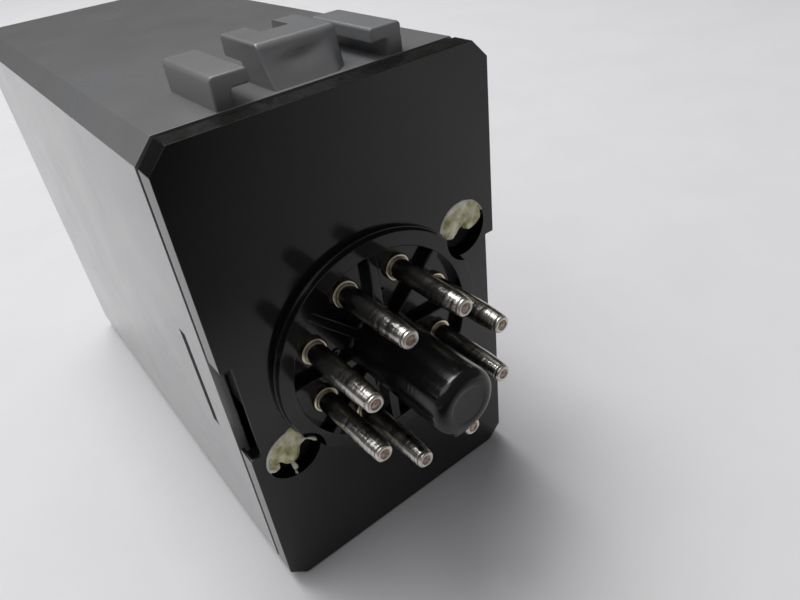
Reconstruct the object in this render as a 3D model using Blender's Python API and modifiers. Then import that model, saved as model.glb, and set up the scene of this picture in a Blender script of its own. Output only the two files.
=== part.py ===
"""Octal plug-in control relay: case, plug base, pins and the works inside.

Metres, +Z up. The relay lies on its plain side with its pins towards -Y and
its clip rails on top. Pieces hang on an empty at the plug axis, on the front
face of the plate: x to the right, y into the box, z up.
"""

import math

import bmesh
import bpy
from mathutils import Vector

# Driving dimensions

# Fits
GAP = 0.0003
OVERCUT = 0.001

# Plug end plate
PLATE_WIDTH = 0.0354
PLATE_HEIGHT = 0.0561
PLATE_THICKNESS = 0.0027
PLATE_CORNER = 0.00195
NOTCH_LENGTH = 0.0121
NOTCH_DEPTH = 0.00137

# Boss ring, ribs and key post
BOSS_DIAMETER = 0.0267
BOSS_HEIGHT = 0.00125
BOSS_STEP = 0.0004
BOSS_CHAMFER = 0.00065
BOSS_RIM = 0.00195
RIB_WIDTH = 0.0011
RIB_DROP = 0.0001
POST_DIAMETER = 0.0074
POST_LENGTH = 0.0144
POST_ROUND = 0.0012
POST_DISH_DIAMETER = 0.0044
POST_DISH_DEPTH = 0.00025
KEY_WIDTH = 0.0020
KEY_HEIGHT = 0.0011
KEY_SHORTFALL = 0.0012

# Contact pins
PIN_COUNT = 8
PIN_CIRCLE = 0.01745
PIN_DIAMETER = 0.00236
PIN_TIP_DIAMETER = 0.00190
PIN_LENGTH = 0.0110
PIN_TAPER = 0.0014
PIN_DIP_DIAMETER = 0.0012
PIN_DIP_DEPTH = 0.00015
COLLAR_DIAMETER = 0.0031
COLLAR_HEIGHT = 0.0004
PIN_TAIL = 0.0020

# Fixing holes, their screws and sealant
FIX_INSET = 0.00475
FIX_UP = 0.0167
FIX_BORE = 0.0066
FIX_WEB = 0.0006
SEAL_PROUD = 0.00035
SEAL_CLEARANCE = 0.00035
BASE_SCREW_HEAD = 0.0052
BASE_SCREW_HEAD_HEIGHT = 0.0008
BASE_SCREW_SHANK = 0.0024
BASE_SCREW_REACH = 0.0015
SCREW_SLOT = 0.0007
SCREW_SLOT_DEPTH = 0.0004

# Case shell
CASE_GAP = 0.0005
CASE_DEPTH = 0.0709
CASE_WALL = 0.0012
CASE_FRONT_WALL = 0.0018
CASE_DRAFT = 0.0075
SLIT_LENGTH = 0.0127
SLIT_WIDTH = 0.0009
SLIT_SETBACK = 0.0053

# Clip rails and forked hook on the case
RAIL_SPAN = 0.0198
RAIL_HEIGHT = 0.00285
RAIL_LEG = 0.0018
RAIL_LIP = 0.0011
RAIL_REACH = 0.0036
RAIL_LENGTH = 0.0103
RAIL_SETBACK = 0.0001
HOOK_WIDTH = 0.0082
HOOK_HEIGHT = 0.0037
HOOK_SETBACK = 0.0013
HOOK_LEAN = 0.0011
HOOK_WALL = 0.0030
HOOK_LENGTH = 0.0084
HOOK_PLATE = 0.00205
FORK_WIDTH = 0.0030
FORK_DEPTH = 0.0034
RAIL_SINK = 0.0006

# Front label and status lamp
LABEL_WIDTH = 0.0270
LABEL_HEIGHT = 0.0440
LABEL_THICKNESS = 0.0004
LED_DIAMETER = 0.0030
LED_FLANGE = 0.0038
LED_FLANGE_HEIGHT = 0.0008
LED_LENGTH = 0.0066
LED_RECESS = 0.0002
LED_INSET = 0.0040

# Chassis bracket
CHASSIS_SHEET = 0.0010
CHASSIS_HEIGHT = 0.0240
WINDOW_CLEARANCE = 0.0007
ARM_HEIGHT = 0.0110
ARM_LENGTH = 0.0138

# Circuit boards and their screws
BOARD_THICKNESS = 0.0016
BOARD_SETBACK = 0.0043
BOARD_END_CLEARANCE = 0.0030
BOARD_EDGE_CLEARANCE = 0.0023
BOARD_SCREW_HEAD = 0.0028
BOARD_SCREW_HEAD_HEIGHT = 0.0008
BOARD_SCREW_SHANK = 0.0015
BOARD_SCREW_PITCH = 0.0050
BOARD_SCREW_SETBACK = 0.0065
BOARD_SCREW_REACH = 0.0005

# Transformer
CORE_WIDTH = 0.0260
CORE_HEIGHT = 0.0220
CORE_LEG = 0.0080
CORE_YOKE = 0.0040
CORE_DROP = 0.0100
CORE_END_CLEARANCE = 0.0065
COIL_OVERHANG = 0.0045
COIL_WALL = 0.0007
COIL_FLANGE = 0.0008
TRANSFORMER_CLEARANCE = 0.0025

# Switching relay
RELAY_UP = 0.0110
RELAY_SETBACK = 0.0090
HINGE_INSET = 0.0042
HEADER_LENGTH = 0.0280
HEADER_WIDTH = 0.0160
HEADER_THICKNESS = 0.0020
YOKE_SHEET = 0.0012
YOKE_WIDTH = 0.0120
YOKE_LENGTH = 0.0170
YOKE_CLEARANCE = 0.0012
BOBBIN_LENGTH = 0.0100
BOBBIN_FLANGE = 0.0130
BOBBIN_WALL = 0.0008
COIL_DIAMETER = 0.0118
POLE_DIAMETER = 0.0048
POLE_FACE = 0.0080
POLE_FACE_HEIGHT = 0.0008
AIR_GAP = 0.0010
ARMATURE_SHEET = 0.0012
ARMATURE_WIDTH = 0.0110
ARMATURE_TAIL = 0.0026
ARMATURE_REACH = 0.0149
BLADE_SHEET = 0.0004
BLADE_WIDTH = 0.0040
BLADE_LENGTH = 0.0098
BLADE_OVERHANG = 0.0043
BUTTON_DIAMETER = 0.0024
BUTTON_HEIGHT = 0.0016
BUTTON_INSET = 0.0013
CONTACT_SHEET = 0.0006
CONTACT_WIDTH = 0.0035
CONTACT_SPACING = 0.0008
CONTACT_TRAVEL = 0.0012
SPRING_SHEET = 0.0004
SPRING_WIDTH = 0.0050
SPRING_LENGTH = 0.0090

# Electronics
CAPACITOR_DIAMETER = 0.0100
CAPACITOR_LENGTH = 0.0160
CAPACITOR_ROUND = 0.0008
CAPACITOR_SETBACK = 0.0160
CAPACITOR_DROP = 0.0120
CHIP_LENGTH = 0.0096
CHIP_WIDTH = 0.0064
CHIP_HEIGHT = 0.0034
CHIP_CLEARANCE = 0.0057
CHIP_UP = 0.0110
BRIDGE_LENGTH = 0.0070
BRIDGE_WIDTH = 0.0084
BRIDGE_HEIGHT = 0.0060
BRIDGE_CLEARANCE = 0.0079
BRIDGE_UP = 0.0080

# Wires
WIRE_DIAMETER = 0.0011
WIRE_LEAD = 0.0022
WIRE_RUN = 0.0050
WIRE_SPREAD = 0.0130
WIRE_LANDING = 0.0040
WIRE_LAY = 0.0022

# Derived places, from the plug axis and the front face of the plate
RIM_Y = PLATE_THICKNESS + CASE_GAP
END_Y = RIM_Y + CASE_DEPTH
HALF_WIDTH = PLATE_WIDTH / 2
HALF_HEIGHT = PLATE_HEIGHT / 2
DRAFT_TOTAL = CASE_DRAFT * CASE_DEPTH
POCKET_RADIUS = BOSS_DIAMETER / 2 - BOSS_RIM
FIX_ACROSS = PLATE_WIDTH - 2 * FIX_INSET
FIX_DEPTH = PLATE_THICKNESS - FIX_WEB
SCREW_FACE_Y = FIX_DEPTH - GAP - BASE_SCREW_HEAD_HEIGHT
CHASSIS_Y = PLATE_THICKNESS + GAP
CHASSIS_WINDOW = PIN_CIRCLE + PIN_DIAMETER + 2 * WINDOW_CLEARANCE
ROOM_X = HALF_WIDTH - CASE_WALL - DRAFT_TOTAL
ARM_X = ROOM_X - 2 * GAP - BOARD_SCREW_HEAD_HEIGHT - CHASSIS_SHEET
BOARD_X = ARM_X - GAP - BOARD_THICKNESS
BOARD_START = PLATE_THICKNESS + BOARD_SETBACK
BOARD_END = END_Y - CASE_FRONT_WALL - BOARD_END_CLEARANCE
BOARD_HALF = HALF_HEIGHT - CASE_WALL - DRAFT_TOTAL - BOARD_EDGE_CLEARANCE
LABEL_POCKET = LABEL_THICKNESS + GAP
LED_UP = LABEL_HEIGHT / 2 - LED_INSET
PIN_ANGLES = [math.radians(270 - (index + 0.5) * 360 / PIN_COUNT) for index in range(PIN_COUNT)]

# World place of the plug axis: the whole object stands on z = 0, centred in x and y
AXIS_Z = HALF_HEIGHT
FACE_Y = (POST_LENGTH - END_Y) / 2

# Turns of the pieces: outward along the pins, inward, and the two outline planes
OUTWARD = (math.pi / 2, 0, 0)
INWARD = (-math.pi / 2, 0, 0)
RIGHTWARD = (0, math.pi / 2, 0)
LEFTWARD = (0, -math.pi / 2, 0)
SIDE_VIEW = (math.pi / 2, 0, math.pi / 2)

# Counts that only set how fine the round faces are
FINE = 48
ROUND = 24
SMALL = 14


def clear_scene():
    for obj in list(bpy.data.objects):
        bpy.data.objects.remove(obj, do_unlink=True)
    for collection in list(bpy.data.collections):
        bpy.data.collections.remove(collection)


def new_collection(name):
    collection = bpy.data.collections.new(name)
    bpy.context.scene.collection.children.link(collection)
    return collection


def new_empty(name, location, parent=None):
    empty = bpy.data.objects.new(name, None)
    empty.location = location
    empty.parent = parent
    parts.objects.link(empty)
    return empty


def new_material(name, colour, roughness, metallic=0.0):
    material = bpy.data.materials.new(name)
    material.use_nodes = True
    shader = material.node_tree.nodes["Principled BSDF"]
    shader.inputs["Base Color"].default_value = (*colour, 1.0)
    shader.inputs["Roughness"].default_value = roughness
    shader.inputs["Metallic"].default_value = metallic
    return material


def adopt(obj, material=None, parent=None):
    """Hang an object on its parent, as a part when it has a material, else as a cutter."""
    obj.parent = parent or origin
    if material:
        obj.data.materials.append(material)
        parts.objects.link(obj)
        return obj
    obj.hide_render = True
    obj.display_type = "WIRE"
    cutters.objects.link(obj)
    return obj


def mesh_object(name, bm):
    mesh = bpy.data.meshes.new(name)
    bm.to_mesh(mesh)
    bm.free()
    return bpy.data.objects.new(name, mesh)


def block(name, low, high, material=None, parent=None):
    """Box between two corners, with its origin in its middle."""
    low, high = Vector(low), Vector(high)
    bm = bmesh.new()
    bmesh.ops.create_cube(bm, size=1.0)
    bmesh.ops.scale(bm, vec=high - low, verts=bm.verts)
    obj = mesh_object(name, bm)
    obj.location = (low + high) / 2
    return adopt(obj, material, parent)


def rod(name, diameter, start, length, turn, segments=ROUND, material=None):
    """Cylinder that starts at a point and runs along a turned z axis."""
    bm = bmesh.new()
    bmesh.ops.create_cone(
        bm, cap_ends=True, segments=segments, radius1=diameter / 2, radius2=diameter / 2, depth=length
    )
    bmesh.ops.translate(bm, vec=(0, 0, length / 2), verts=bm.verts)
    obj = mesh_object(name, bm)
    obj.location = start
    obj.rotation_euler = turn
    return adopt(obj, material)


def turned(name, profile, place, turn, steps, material=None):
    """Turned shape from (radius, height) points that run down the outer side."""
    bm = bmesh.new()
    points = [bm.verts.new((radius, 0, height)) for radius, height in profile]
    for upper, lower in zip(points, points[1:]):
        bm.edges.new((upper, lower))
    obj = mesh_object(name, bm)
    obj.location = place
    obj.rotation_euler = turn
    screw = obj.modifiers.new("turn", "SCREW")
    screw.steps = steps
    screw.render_steps = steps
    screw.use_merge_vertices = True
    screw.merge_threshold = 0.000001
    screw.use_smooth_shade = True
    return adopt(obj, material)


def fillet(radius, height, size, points=4):
    """Quarter round at the top outer corner of a turned profile."""
    arc = [math.pi / 2 * (1 - step / points) for step in range(points + 1)]
    return [
        (radius - size + size * math.cos(angle), height - size + size * math.sin(angle))
        for angle in arc
    ]


def curve_to_mesh(curve_object):
    """Mesh object in place of a curve, with its caps welded."""
    depsgraph = bpy.context.evaluated_depsgraph_get()
    mesh = bpy.data.meshes.new_from_object(curve_object.evaluated_get(depsgraph))
    bm = bmesh.new()
    bm.from_mesh(mesh)
    bmesh.ops.remove_doubles(bm, verts=bm.verts, dist=0.000001)
    bmesh.ops.recalc_face_normals(bm, faces=bm.faces)
    bm.to_mesh(mesh)
    bm.free()
    obj = bpy.data.objects.new(curve_object.name, mesh)
    obj.matrix_world = curve_object.matrix_world
    curve = curve_object.data
    bpy.data.objects.remove(curve_object)
    bpy.data.curves.remove(curve)
    return obj


def poly_curve(name, points, cyclic, dimensions):
    curve = bpy.data.curves.new(name, "CURVE")
    curve.dimensions = dimensions
    spline = curve.splines.new("POLY")
    spline.points.add(len(points) - 1)
    for target, point in zip(spline.points, points):
        target.co = (*point, 1.0)
    spline.use_cyclic_u = cyclic
    return curve


def outline(name, points, thickness, place, turn, material=None, parent=None):
    """Flat outline with a thickness, centred on its plane."""
    curve = poly_curve(name, [(u, v, 0.0) for u, v in points], True, "2D")
    curve.fill_mode = "BOTH"
    curve.extrude = thickness / 2
    drawn = bpy.data.objects.new(name + "_outline", curve)
    bpy.context.scene.collection.objects.link(drawn)
    obj = curve_to_mesh(drawn)
    obj.name = name
    obj.location = place
    obj.rotation_euler = turn
    return adopt(obj, material, parent)


def combine(target, tool, operation):
    modifier = target.modifiers.new(tool.name, "BOOLEAN")
    modifier.operation = operation
    modifier.solver = "EXACT"
    modifier.object = tool


def join(target, *tools):
    for tool in tools:
        combine(target, tool, "UNION")


def cut(target, *tools):
    for tool in tools:
        combine(target, tool, "DIFFERENCE")


def fix_places():
    """Fixing hole centres: upper right and lower left of the plug."""
    return {
        "upper": (FIX_ACROSS / 2, FIX_UP / 2),
        "lower": (-FIX_ACROSS / 2, -FIX_UP / 2),
    }


def pin_places():
    """Pin numbers with their x and z, clockwise from the key as seen at the pins."""
    radius = PIN_CIRCLE / 2
    return {
        number + 1: (radius * math.cos(angle), radius * math.sin(angle))
        for number, angle in enumerate(PIN_ANGLES)
    }


def drafted_prism(name, inset, start, end, material=None):
    """Box with chamfered long edges, drawn in towards its far end except at its flat bottom."""
    corner = PLATE_CORNER - inset * (2 - math.sqrt(2))
    size = Vector((PLATE_WIDTH - 2 * inset, end - start, PLATE_HEIGHT - 2 * inset))
    bm = bmesh.new()
    bmesh.ops.create_cube(bm, size=1.0)
    bmesh.ops.scale(bm, vec=size, verts=bm.verts)
    long_edges = [
        edge for edge in bm.edges
        if abs(edge.verts[0].co.y - edge.verts[1].co.y) > size.y / 2
    ]
    bmesh.ops.bevel(bm, geom=long_edges, offset=corner, segments=1, affect="EDGES")
    bmesh.ops.translate(bm, vec=(0, (start + end) / 2, 0), verts=bm.verts)
    for vert in bm.verts:
        drawn_in = CASE_DRAFT * (vert.co.y - RIM_Y)
        vert.co.x -= math.copysign(drawn_in, vert.co.x)
        if vert.co.z > 0:
            vert.co.z -= drawn_in
    return adopt(mesh_object(name, bm), material)


def plate_outline():
    """Plate with its four corners chamfered."""
    half = [
        (HALF_WIDTH - PLATE_CORNER, -HALF_HEIGHT),
        (HALF_WIDTH, -HALF_HEIGHT + PLATE_CORNER),
        (HALF_WIDTH, HALF_HEIGHT - PLATE_CORNER),
        (HALF_WIDTH - PLATE_CORNER, HALF_HEIGHT),
    ]
    return half + [(-x, z) for x, z in reversed(half)]


def cut_notches(base):
    """Shallow notch in the middle of each long edge of the plate."""
    for side, name in ((-1, "left"), (1, "right")):
        ends = sorted((side * (HALF_WIDTH - NOTCH_DEPTH), side * (HALF_WIDTH + OVERCUT)))
        notch = block(
            f"notch_{name}",
            (ends[0], -OVERCUT, -NOTCH_LENGTH / 2),
            (ends[1], PLATE_THICKNESS + OVERCUT, NOTCH_LENGTH / 2),
        )
        cut(base, notch)


def add_plug(base):
    """Ring with a chamfered edge and key post with a rounded, dished end, turned in one."""
    root = -PLATE_THICKNESS / 2
    groove = -PLATE_THICKNESS / 4
    boss = BOSS_DIAMETER / 2
    post = POST_DIAMETER / 2
    profile = [
        (0, POST_LENGTH - POST_DISH_DEPTH),
        (POST_DISH_DIAMETER / 2, POST_LENGTH - POST_DISH_DEPTH),
        (POST_DISH_DIAMETER / 2, POST_LENGTH),
        *fillet(post, POST_LENGTH, POST_ROUND),
        (post, groove),
        (POCKET_RADIUS, groove),
        (POCKET_RADIUS, BOSS_HEIGHT),
        (boss - BOSS_CHAMFER, BOSS_HEIGHT),
        (boss, BOSS_STEP),
        (boss, root),
        (0, root),
    ]
    join(base, turned("plug", profile, (0, 0, 0), OUTWARD, FINE))


def add_key(base):
    """Locating ridge along the underside of the post."""
    radius = POST_DIAMETER / 2
    key = block(
        "key",
        (-KEY_WIDTH / 2, KEY_SHORTFALL - POST_LENGTH, -radius - KEY_HEIGHT),
        (KEY_WIDTH / 2, PLATE_THICKNESS / 4, -radius / 2),
    )
    join(base, key)


def add_ribs(base):
    """Radial ribs between the pins, from inside the post to inside the ring."""
    inner = POST_DIAMETER / 2 - RIB_WIDTH
    outer = POCKET_RADIUS + BOSS_RIM / 4
    for index in range(PIN_COUNT):
        angle = 2 * math.pi * index / PIN_COUNT
        rib = block(
            f"rib_{index + 1}",
            (inner, -BOSS_HEIGHT + RIB_DROP, -RIB_WIDTH / 2),
            (outer, PLATE_THICKNESS / 3, RIB_WIDTH / 2),
        )
        middle = rib.location.x
        rib.location.x = middle * math.cos(angle)
        rib.location.z = middle * math.sin(angle)
        rib.rotation_euler = (0, -angle, 0)
        join(base, rib)


def build_plug_base(material):
    base = outline("plug_base", plate_outline(), PLATE_THICKNESS, (0, PLATE_THICKNESS / 2, 0), OUTWARD,
                   material)
    cut_notches(base)
    add_plug(base)
    add_key(base)
    add_ribs(base)
    front = -BOSS_HEIGHT - OVERCUT
    for name, (x, z) in fix_places().items():
        bore = rod(f"bore_{name}", FIX_BORE, (x, front, z), FIX_DEPTH - front, INWARD, ROUND)
        passage = rod(f"passage_{name}", BASE_SCREW_SHANK + 2 * GAP, (x, 0, z),
                      PLATE_THICKNESS + OVERCUT, INWARD, SMALL)
        cut(base, bore, passage)
    for number, (x, z) in pin_places().items():
        hole = rod(f"pin_hole_{number}", PIN_DIAMETER + 2 * GAP, (x, -OVERCUT / 2, z),
                   PLATE_THICKNESS + OVERCUT, INWARD, SMALL)
        cut(base, hole)
    return base


def build_pins(material):
    tip = PIN_TIP_DIAMETER / 2
    body = PIN_DIAMETER / 2
    collar = COLLAR_DIAMETER / 2
    edge = (tip - PIN_DIP_DIAMETER / 2) / 3
    profile = [
        (0, PIN_LENGTH - PIN_DIP_DEPTH),
        (PIN_DIP_DIAMETER / 2, PIN_LENGTH),
        (tip - edge, PIN_LENGTH),
        (tip, PIN_LENGTH - edge),
        (body, PIN_LENGTH - PIN_TAPER),
        (body, GAP + COLLAR_HEIGHT),
        (collar, GAP + COLLAR_HEIGHT),
        (collar, GAP),
        (body, GAP),
        (body, -PLATE_THICKNESS - PIN_TAIL),
        (0, -PLATE_THICKNESS - PIN_TAIL),
    ]
    for number, (x, z) in pin_places().items():
        turned(f"pin_{number}", profile, (x, 0, z), OUTWARD, SMALL, material)


def build_fixings(screw_material, seal_material):
    head = BASE_SCREW_HEAD / 2
    shank = BASE_SCREW_SHANK / 2
    head_foot = -BASE_SCREW_HEAD_HEIGHT
    end = SCREW_FACE_Y - CHASSIS_Y - CHASSIS_SHEET - BASE_SCREW_REACH
    profile = [(0, 0), (head, 0), (head, head_foot), (shank, head_foot), (shank, end), (0, end)]
    for name, (x, z) in fix_places().items():
        screw = turned(f"base_screw_{name}", profile, (x, SCREW_FACE_Y, z), OUTWARD, SMALL, screw_material)
        slot = block(
            f"slot_{name}",
            (x - head - OVERCUT, SCREW_FACE_Y - OVERCUT, z - SCREW_SLOT / 2),
            (x + head + OVERCUT, SCREW_FACE_Y + SCREW_SLOT_DEPTH, z + SCREW_SLOT / 2),
        )
        cut(screw, slot)
        build_seal(f"seal_{name}", x, z, seal_material)


def build_seal(name, x, z, material):
    """Blob of sealant over a screw head, inside the fixing hole."""
    back = SCREW_FACE_Y - SEAL_CLEARANCE
    radius = FIX_BORE / 2 - GAP
    bm = bmesh.new()
    bmesh.ops.create_uvsphere(bm, u_segments=ROUND, v_segments=8, radius=1.0)
    bmesh.ops.scale(bm, vec=(radius, radius, (back + SEAL_PROUD) / 2), verts=bm.verts)
    seal = mesh_object(name, bm)
    seal.location = (x, (back - SEAL_PROUD) / 2, z)
    seal.rotation_euler = OUTWARD
    seal.data.shade_smooth()
    adopt(seal, material)


def build_rail(case, name, side):
    """L-shaped clip rail with its lip turned inwards."""
    outer = RAIL_SPAN / 2
    top = HALF_HEIGHT + RAIL_HEIGHT
    foot = HALF_HEIGHT - RAIL_SINK
    points = [
        (outer, foot),
        (outer, top),
        (outer - RAIL_REACH, top),
        (outer - RAIL_REACH, top - RAIL_LIP),
        (outer - RAIL_LEG, top - RAIL_LIP),
        (outer - RAIL_LEG, foot),
    ]
    middle = RIM_Y + RAIL_SETBACK + RAIL_LENGTH / 2
    rail = outline(name, [(side * x, z) for x, z in points], RAIL_LENGTH, (0, middle, 0), OUTWARD)
    join(case, rail)


def build_hook(case):
    """Forked hook between the rails: a leaning wall with a plate that points into the box."""
    start = RIM_Y + HOOK_SETBACK
    end = start + HOOK_LENGTH
    top = HALF_HEIGHT + HOOK_HEIGHT
    foot = HALF_HEIGHT - RAIL_SINK
    points = [
        (start, foot),
        (start, HALF_HEIGHT),
        (start + HOOK_LEAN, top),
        (end, top),
        (end, top - HOOK_PLATE),
        (start + HOOK_WALL, top - HOOK_PLATE),
        (start + HOOK_WALL, foot),
    ]
    hook = outline("hook", points, HOOK_WIDTH, (0, 0, 0), SIDE_VIEW)
    fork = block(
        "fork",
        (-FORK_WIDTH / 2, end - FORK_DEPTH, top - HOOK_PLATE - OVERCUT),
        (FORK_WIDTH / 2, end + OVERCUT, top + OVERCUT),
    )
    join(case, hook)
    cut(case, fork)


def led_place():
    """Foot of the status lamp, beside the power board's far end."""
    return (BOARD_X - GAP - LED_FLANGE / 2, END_Y - LED_RECESS - LED_LENGTH, LED_UP)


def build_case(material, label_material):
    case = drafted_prism("case", 0.0, RIM_Y, END_Y, material)
    cavity = drafted_prism("cavity", CASE_WALL, RIM_Y - OVERCUT, END_Y - CASE_FRONT_WALL)
    cut(case, cavity)
    for side, name in ((-1, "left"), (1, "right")):
        build_rail(case, f"rail_{name}", side)
    build_hook(case)
    slit_start = RIM_Y + SLIT_SETBACK
    for side, name in ((-1, "left"), (1, "right")):
        walls = sorted((side * (ROOM_X - OVERCUT), side * (HALF_WIDTH + OVERCUT)))
        slit = block(
            f"slit_{name}",
            (walls[0], slit_start, -SLIT_LENGTH / 2),
            (walls[1], slit_start + SLIT_WIDTH, SLIT_LENGTH / 2),
        )
        cut(case, slit)
    build_front(case, label_material)


def build_front(case, label_material):
    """Label pocket, blank label and the lamp window through both."""
    half_x = LABEL_WIDTH / 2
    half_z = LABEL_HEIGHT / 2
    pocket = block(
        "label_pocket",
        (-half_x - GAP, END_Y - LABEL_POCKET, -half_z - GAP),
        (half_x + GAP, END_Y + OVERCUT, half_z + GAP),
    )
    x, _, z = led_place()
    window = rod("led_window", LED_DIAMETER + 2 * GAP, (x, END_Y - CASE_FRONT_WALL - OVERCUT, z),
                 CASE_FRONT_WALL + 2 * OVERCUT, INWARD, ROUND)
    cut(case, pocket, window)
    label = block(
        "front_label",
        (-half_x, END_Y - LABEL_THICKNESS, -half_z),
        (half_x, END_Y, half_z),
        label_material,
    )
    cut(label, window)


def build_led(material):
    radius = LED_DIAMETER / 2
    flange = LED_FLANGE / 2
    profile = [
        (0, LED_LENGTH),
        *fillet(radius, LED_LENGTH, radius, 5)[1:],
        (radius, LED_FLANGE_HEIGHT),
        (flange, LED_FLANGE_HEIGHT),
        (flange, 0),
        (0, 0),
    ]
    turned("indicator_led", profile, led_place(), INWARD, SMALL, material)


def board_screw_rows():
    first = CHASSIS_Y + BOARD_SCREW_SETBACK
    return (first, first + BOARD_SCREW_PITCH)


def build_chassis(material):
    """U-shaped bracket: a back plate with a window for the pins, and two arms for the boards."""
    half_x = ARM_X + CHASSIS_SHEET
    chassis = block(
        "chassis",
        (-half_x, CHASSIS_Y, -CHASSIS_HEIGHT / 2),
        (half_x, CHASSIS_Y + CHASSIS_SHEET, CHASSIS_HEIGHT / 2),
        material,
    )
    for side, name in ((-1, "left"), (1, "right")):
        faces = sorted((side * ARM_X, side * half_x))
        arm = block(
            f"arm_{name}",
            (faces[0], CHASSIS_Y + CHASSIS_SHEET / 2, -ARM_HEIGHT / 2),
            (faces[1], CHASSIS_Y + ARM_LENGTH, ARM_HEIGHT / 2),
        )
        join(chassis, arm)
    window = rod("pin_window", CHASSIS_WINDOW, (0, CHASSIS_Y - OVERCUT, 0), CHASSIS_SHEET + 2 * OVERCUT,
                 INWARD, FINE)
    cut(chassis, window)
    for name, (x, z) in fix_places().items():
        hole = rod(f"chassis_hole_{name}", BASE_SCREW_SHANK + 2 * GAP, (x, CHASSIS_Y - OVERCUT, z),
                   CHASSIS_SHEET + 2 * OVERCUT, INWARD, SMALL)
        cut(chassis, hole)
    return chassis


def build_boards(chassis, material, screw_material):
    """Two boards on the chassis arms, each held by two screws."""
    head = BOARD_SCREW_HEAD / 2
    shank = BOARD_SCREW_SHANK / 2
    end = -GAP - CHASSIS_SHEET - GAP - BOARD_THICKNESS - BOARD_SCREW_REACH
    profile = [
        (0, BOARD_SCREW_HEAD_HEIGHT),
        (head, BOARD_SCREW_HEAD_HEIGHT),
        (head, 0),
        (shank, 0),
        (shank, end),
        (0, end),
    ]
    number = 0
    for side, name in ((-1, "relay_board"), (1, "power_board")):
        faces = sorted((side * BOARD_X, side * (BOARD_X + BOARD_THICKNESS)))
        board = block(
            name,
            (faces[0], BOARD_START, -BOARD_HALF),
            (faces[1], BOARD_END, BOARD_HALF),
            material,
        )
        turn = RIGHTWARD if side > 0 else LEFTWARD
        for y in board_screw_rows():
            number += 1
            hole = rod(f"board_hole_{number}", BOARD_SCREW_SHANK + 2 * GAP,
                       (side * (BOARD_X - OVERCUT), y, 0), ROOM_X - BOARD_X + OVERCUT, turn, SMALL)
            cut(board, hole)
            cut(chassis, hole)
            seat = (side * (ARM_X + CHASSIS_SHEET + GAP), y, 0)
            turned(f"board_screw_{number}", profile, seat, turn, SMALL, screw_material)


def ring_block(name, centre, half_outer, half_inner, half_height, material):
    """Rectangular ring round a vertical leg."""
    outer = Vector((*half_outer, half_height))
    inner = Vector((*half_inner, half_height + OVERCUT))
    ring = block(name, centre - outer, centre + outer, material)
    cut(ring, block(f"{name}_hole", centre - inner, centre + inner))
    return ring


def build_transformer(core_material, bobbin_material, winding_material):
    """Mains transformer: laminated core, bobbin round its middle leg and the winding."""
    reach = BOARD_X - GAP
    coil_half = (BOARD_X + reach - TRANSFORMER_CLEARANCE) / 2
    core_end = END_Y - CASE_FRONT_WALL - CORE_END_CLEARANCE
    centre = Vector((reach - coil_half, core_end - CORE_WIDTH / 2, -CORE_DROP))
    stack = Vector((coil_half - COIL_OVERHANG, CORE_WIDTH / 2, CORE_HEIGHT / 2))
    leg = CORE_LEG / 2
    window_half = CORE_HEIGHT / 2 - CORE_YOKE
    window_end = CORE_WIDTH / 2 - CORE_YOKE
    core = block("transformer_core", centre - stack, centre + stack, core_material)
    for side, name in ((-1, "near"), (1, "far")):
        ends = sorted((side * leg, side * window_end))
        low = centre + Vector((-coil_half, ends[0], -window_half))
        high = centre + Vector((coil_half, ends[1], window_half))
        cut(core, block(f"core_window_{name}", low, high))
    tube_in = Vector((stack.x + GAP, leg + GAP))
    tube_out = tube_in + Vector((COIL_WALL, COIL_WALL))
    flange_out = Vector((coil_half, window_end - GAP))
    half_height = window_half - GAP
    bobbin = ring_block("transformer_bobbin", centre, tube_out, tube_in, half_height, bobbin_material)
    for side, name in ((-1, "lower"), (1, "upper")):
        middle = centre + Vector((0, 0, side * (half_height - COIL_FLANGE / 2)))
        flange = ring_block(f"bobbin_flange_{name}", middle, flange_out, tube_in, COIL_FLANGE / 2, None)
        join(bobbin, flange)
    winding_in = tube_out + Vector((GAP, GAP))
    winding_out = flange_out - Vector((GAP, GAP))
    ring_block("transformer_winding", centre, winding_out, winding_in, half_height - COIL_FLANGE - GAP,
               winding_material)


def relay_levels():
    """Heights of the relay's layers above the face of the board that carries it."""
    header = GAP + HEADER_THICKNESS
    foot = header + GAP + YOKE_SHEET
    bobbin = foot + GAP
    pole = bobbin + BOBBIN_LENGTH + GAP + POLE_FACE_HEIGHT
    armature = pole + AIR_GAP
    blade = armature + ARMATURE_SHEET + GAP
    return {
        "header": header,
        "foot": foot,
        "bobbin": bobbin,
        "pole": pole,
        "armature": armature,
        "blade": blade,
        "button": blade + BLADE_SHEET / 2,
    }


def relay_places():
    """Places along the box: contacts first, then the coil, then the hinge edge."""
    start = BOARD_START + RELAY_SETBACK
    hinge = start + HEADER_LENGTH - HINGE_INSET
    coil = hinge - YOKE_SHEET - YOKE_CLEARANCE - BOBBIN_FLANGE / 2
    free_end = hinge - ARMATURE_REACH
    return {
        "start": start,
        "hinge": hinge,
        "coil": coil,
        "free_end": free_end,
        "blade_tip": free_end - BLADE_OVERHANG,
    }


def on_relay(level, y, z=0.0):
    """Point of the relay from its height above the board, its place and its side offset."""
    return Vector((level - BOARD_X, y, RELAY_UP + z))


def relay_block(name, levels, ends, width, material, parent=None):
    low = on_relay(levels[0], ends[0], -width / 2)
    high = on_relay(levels[1], ends[1], width / 2)
    if parent:
        low -= parent.location
        high -= parent.location
    return block(name, low, high, material, parent)


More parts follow.
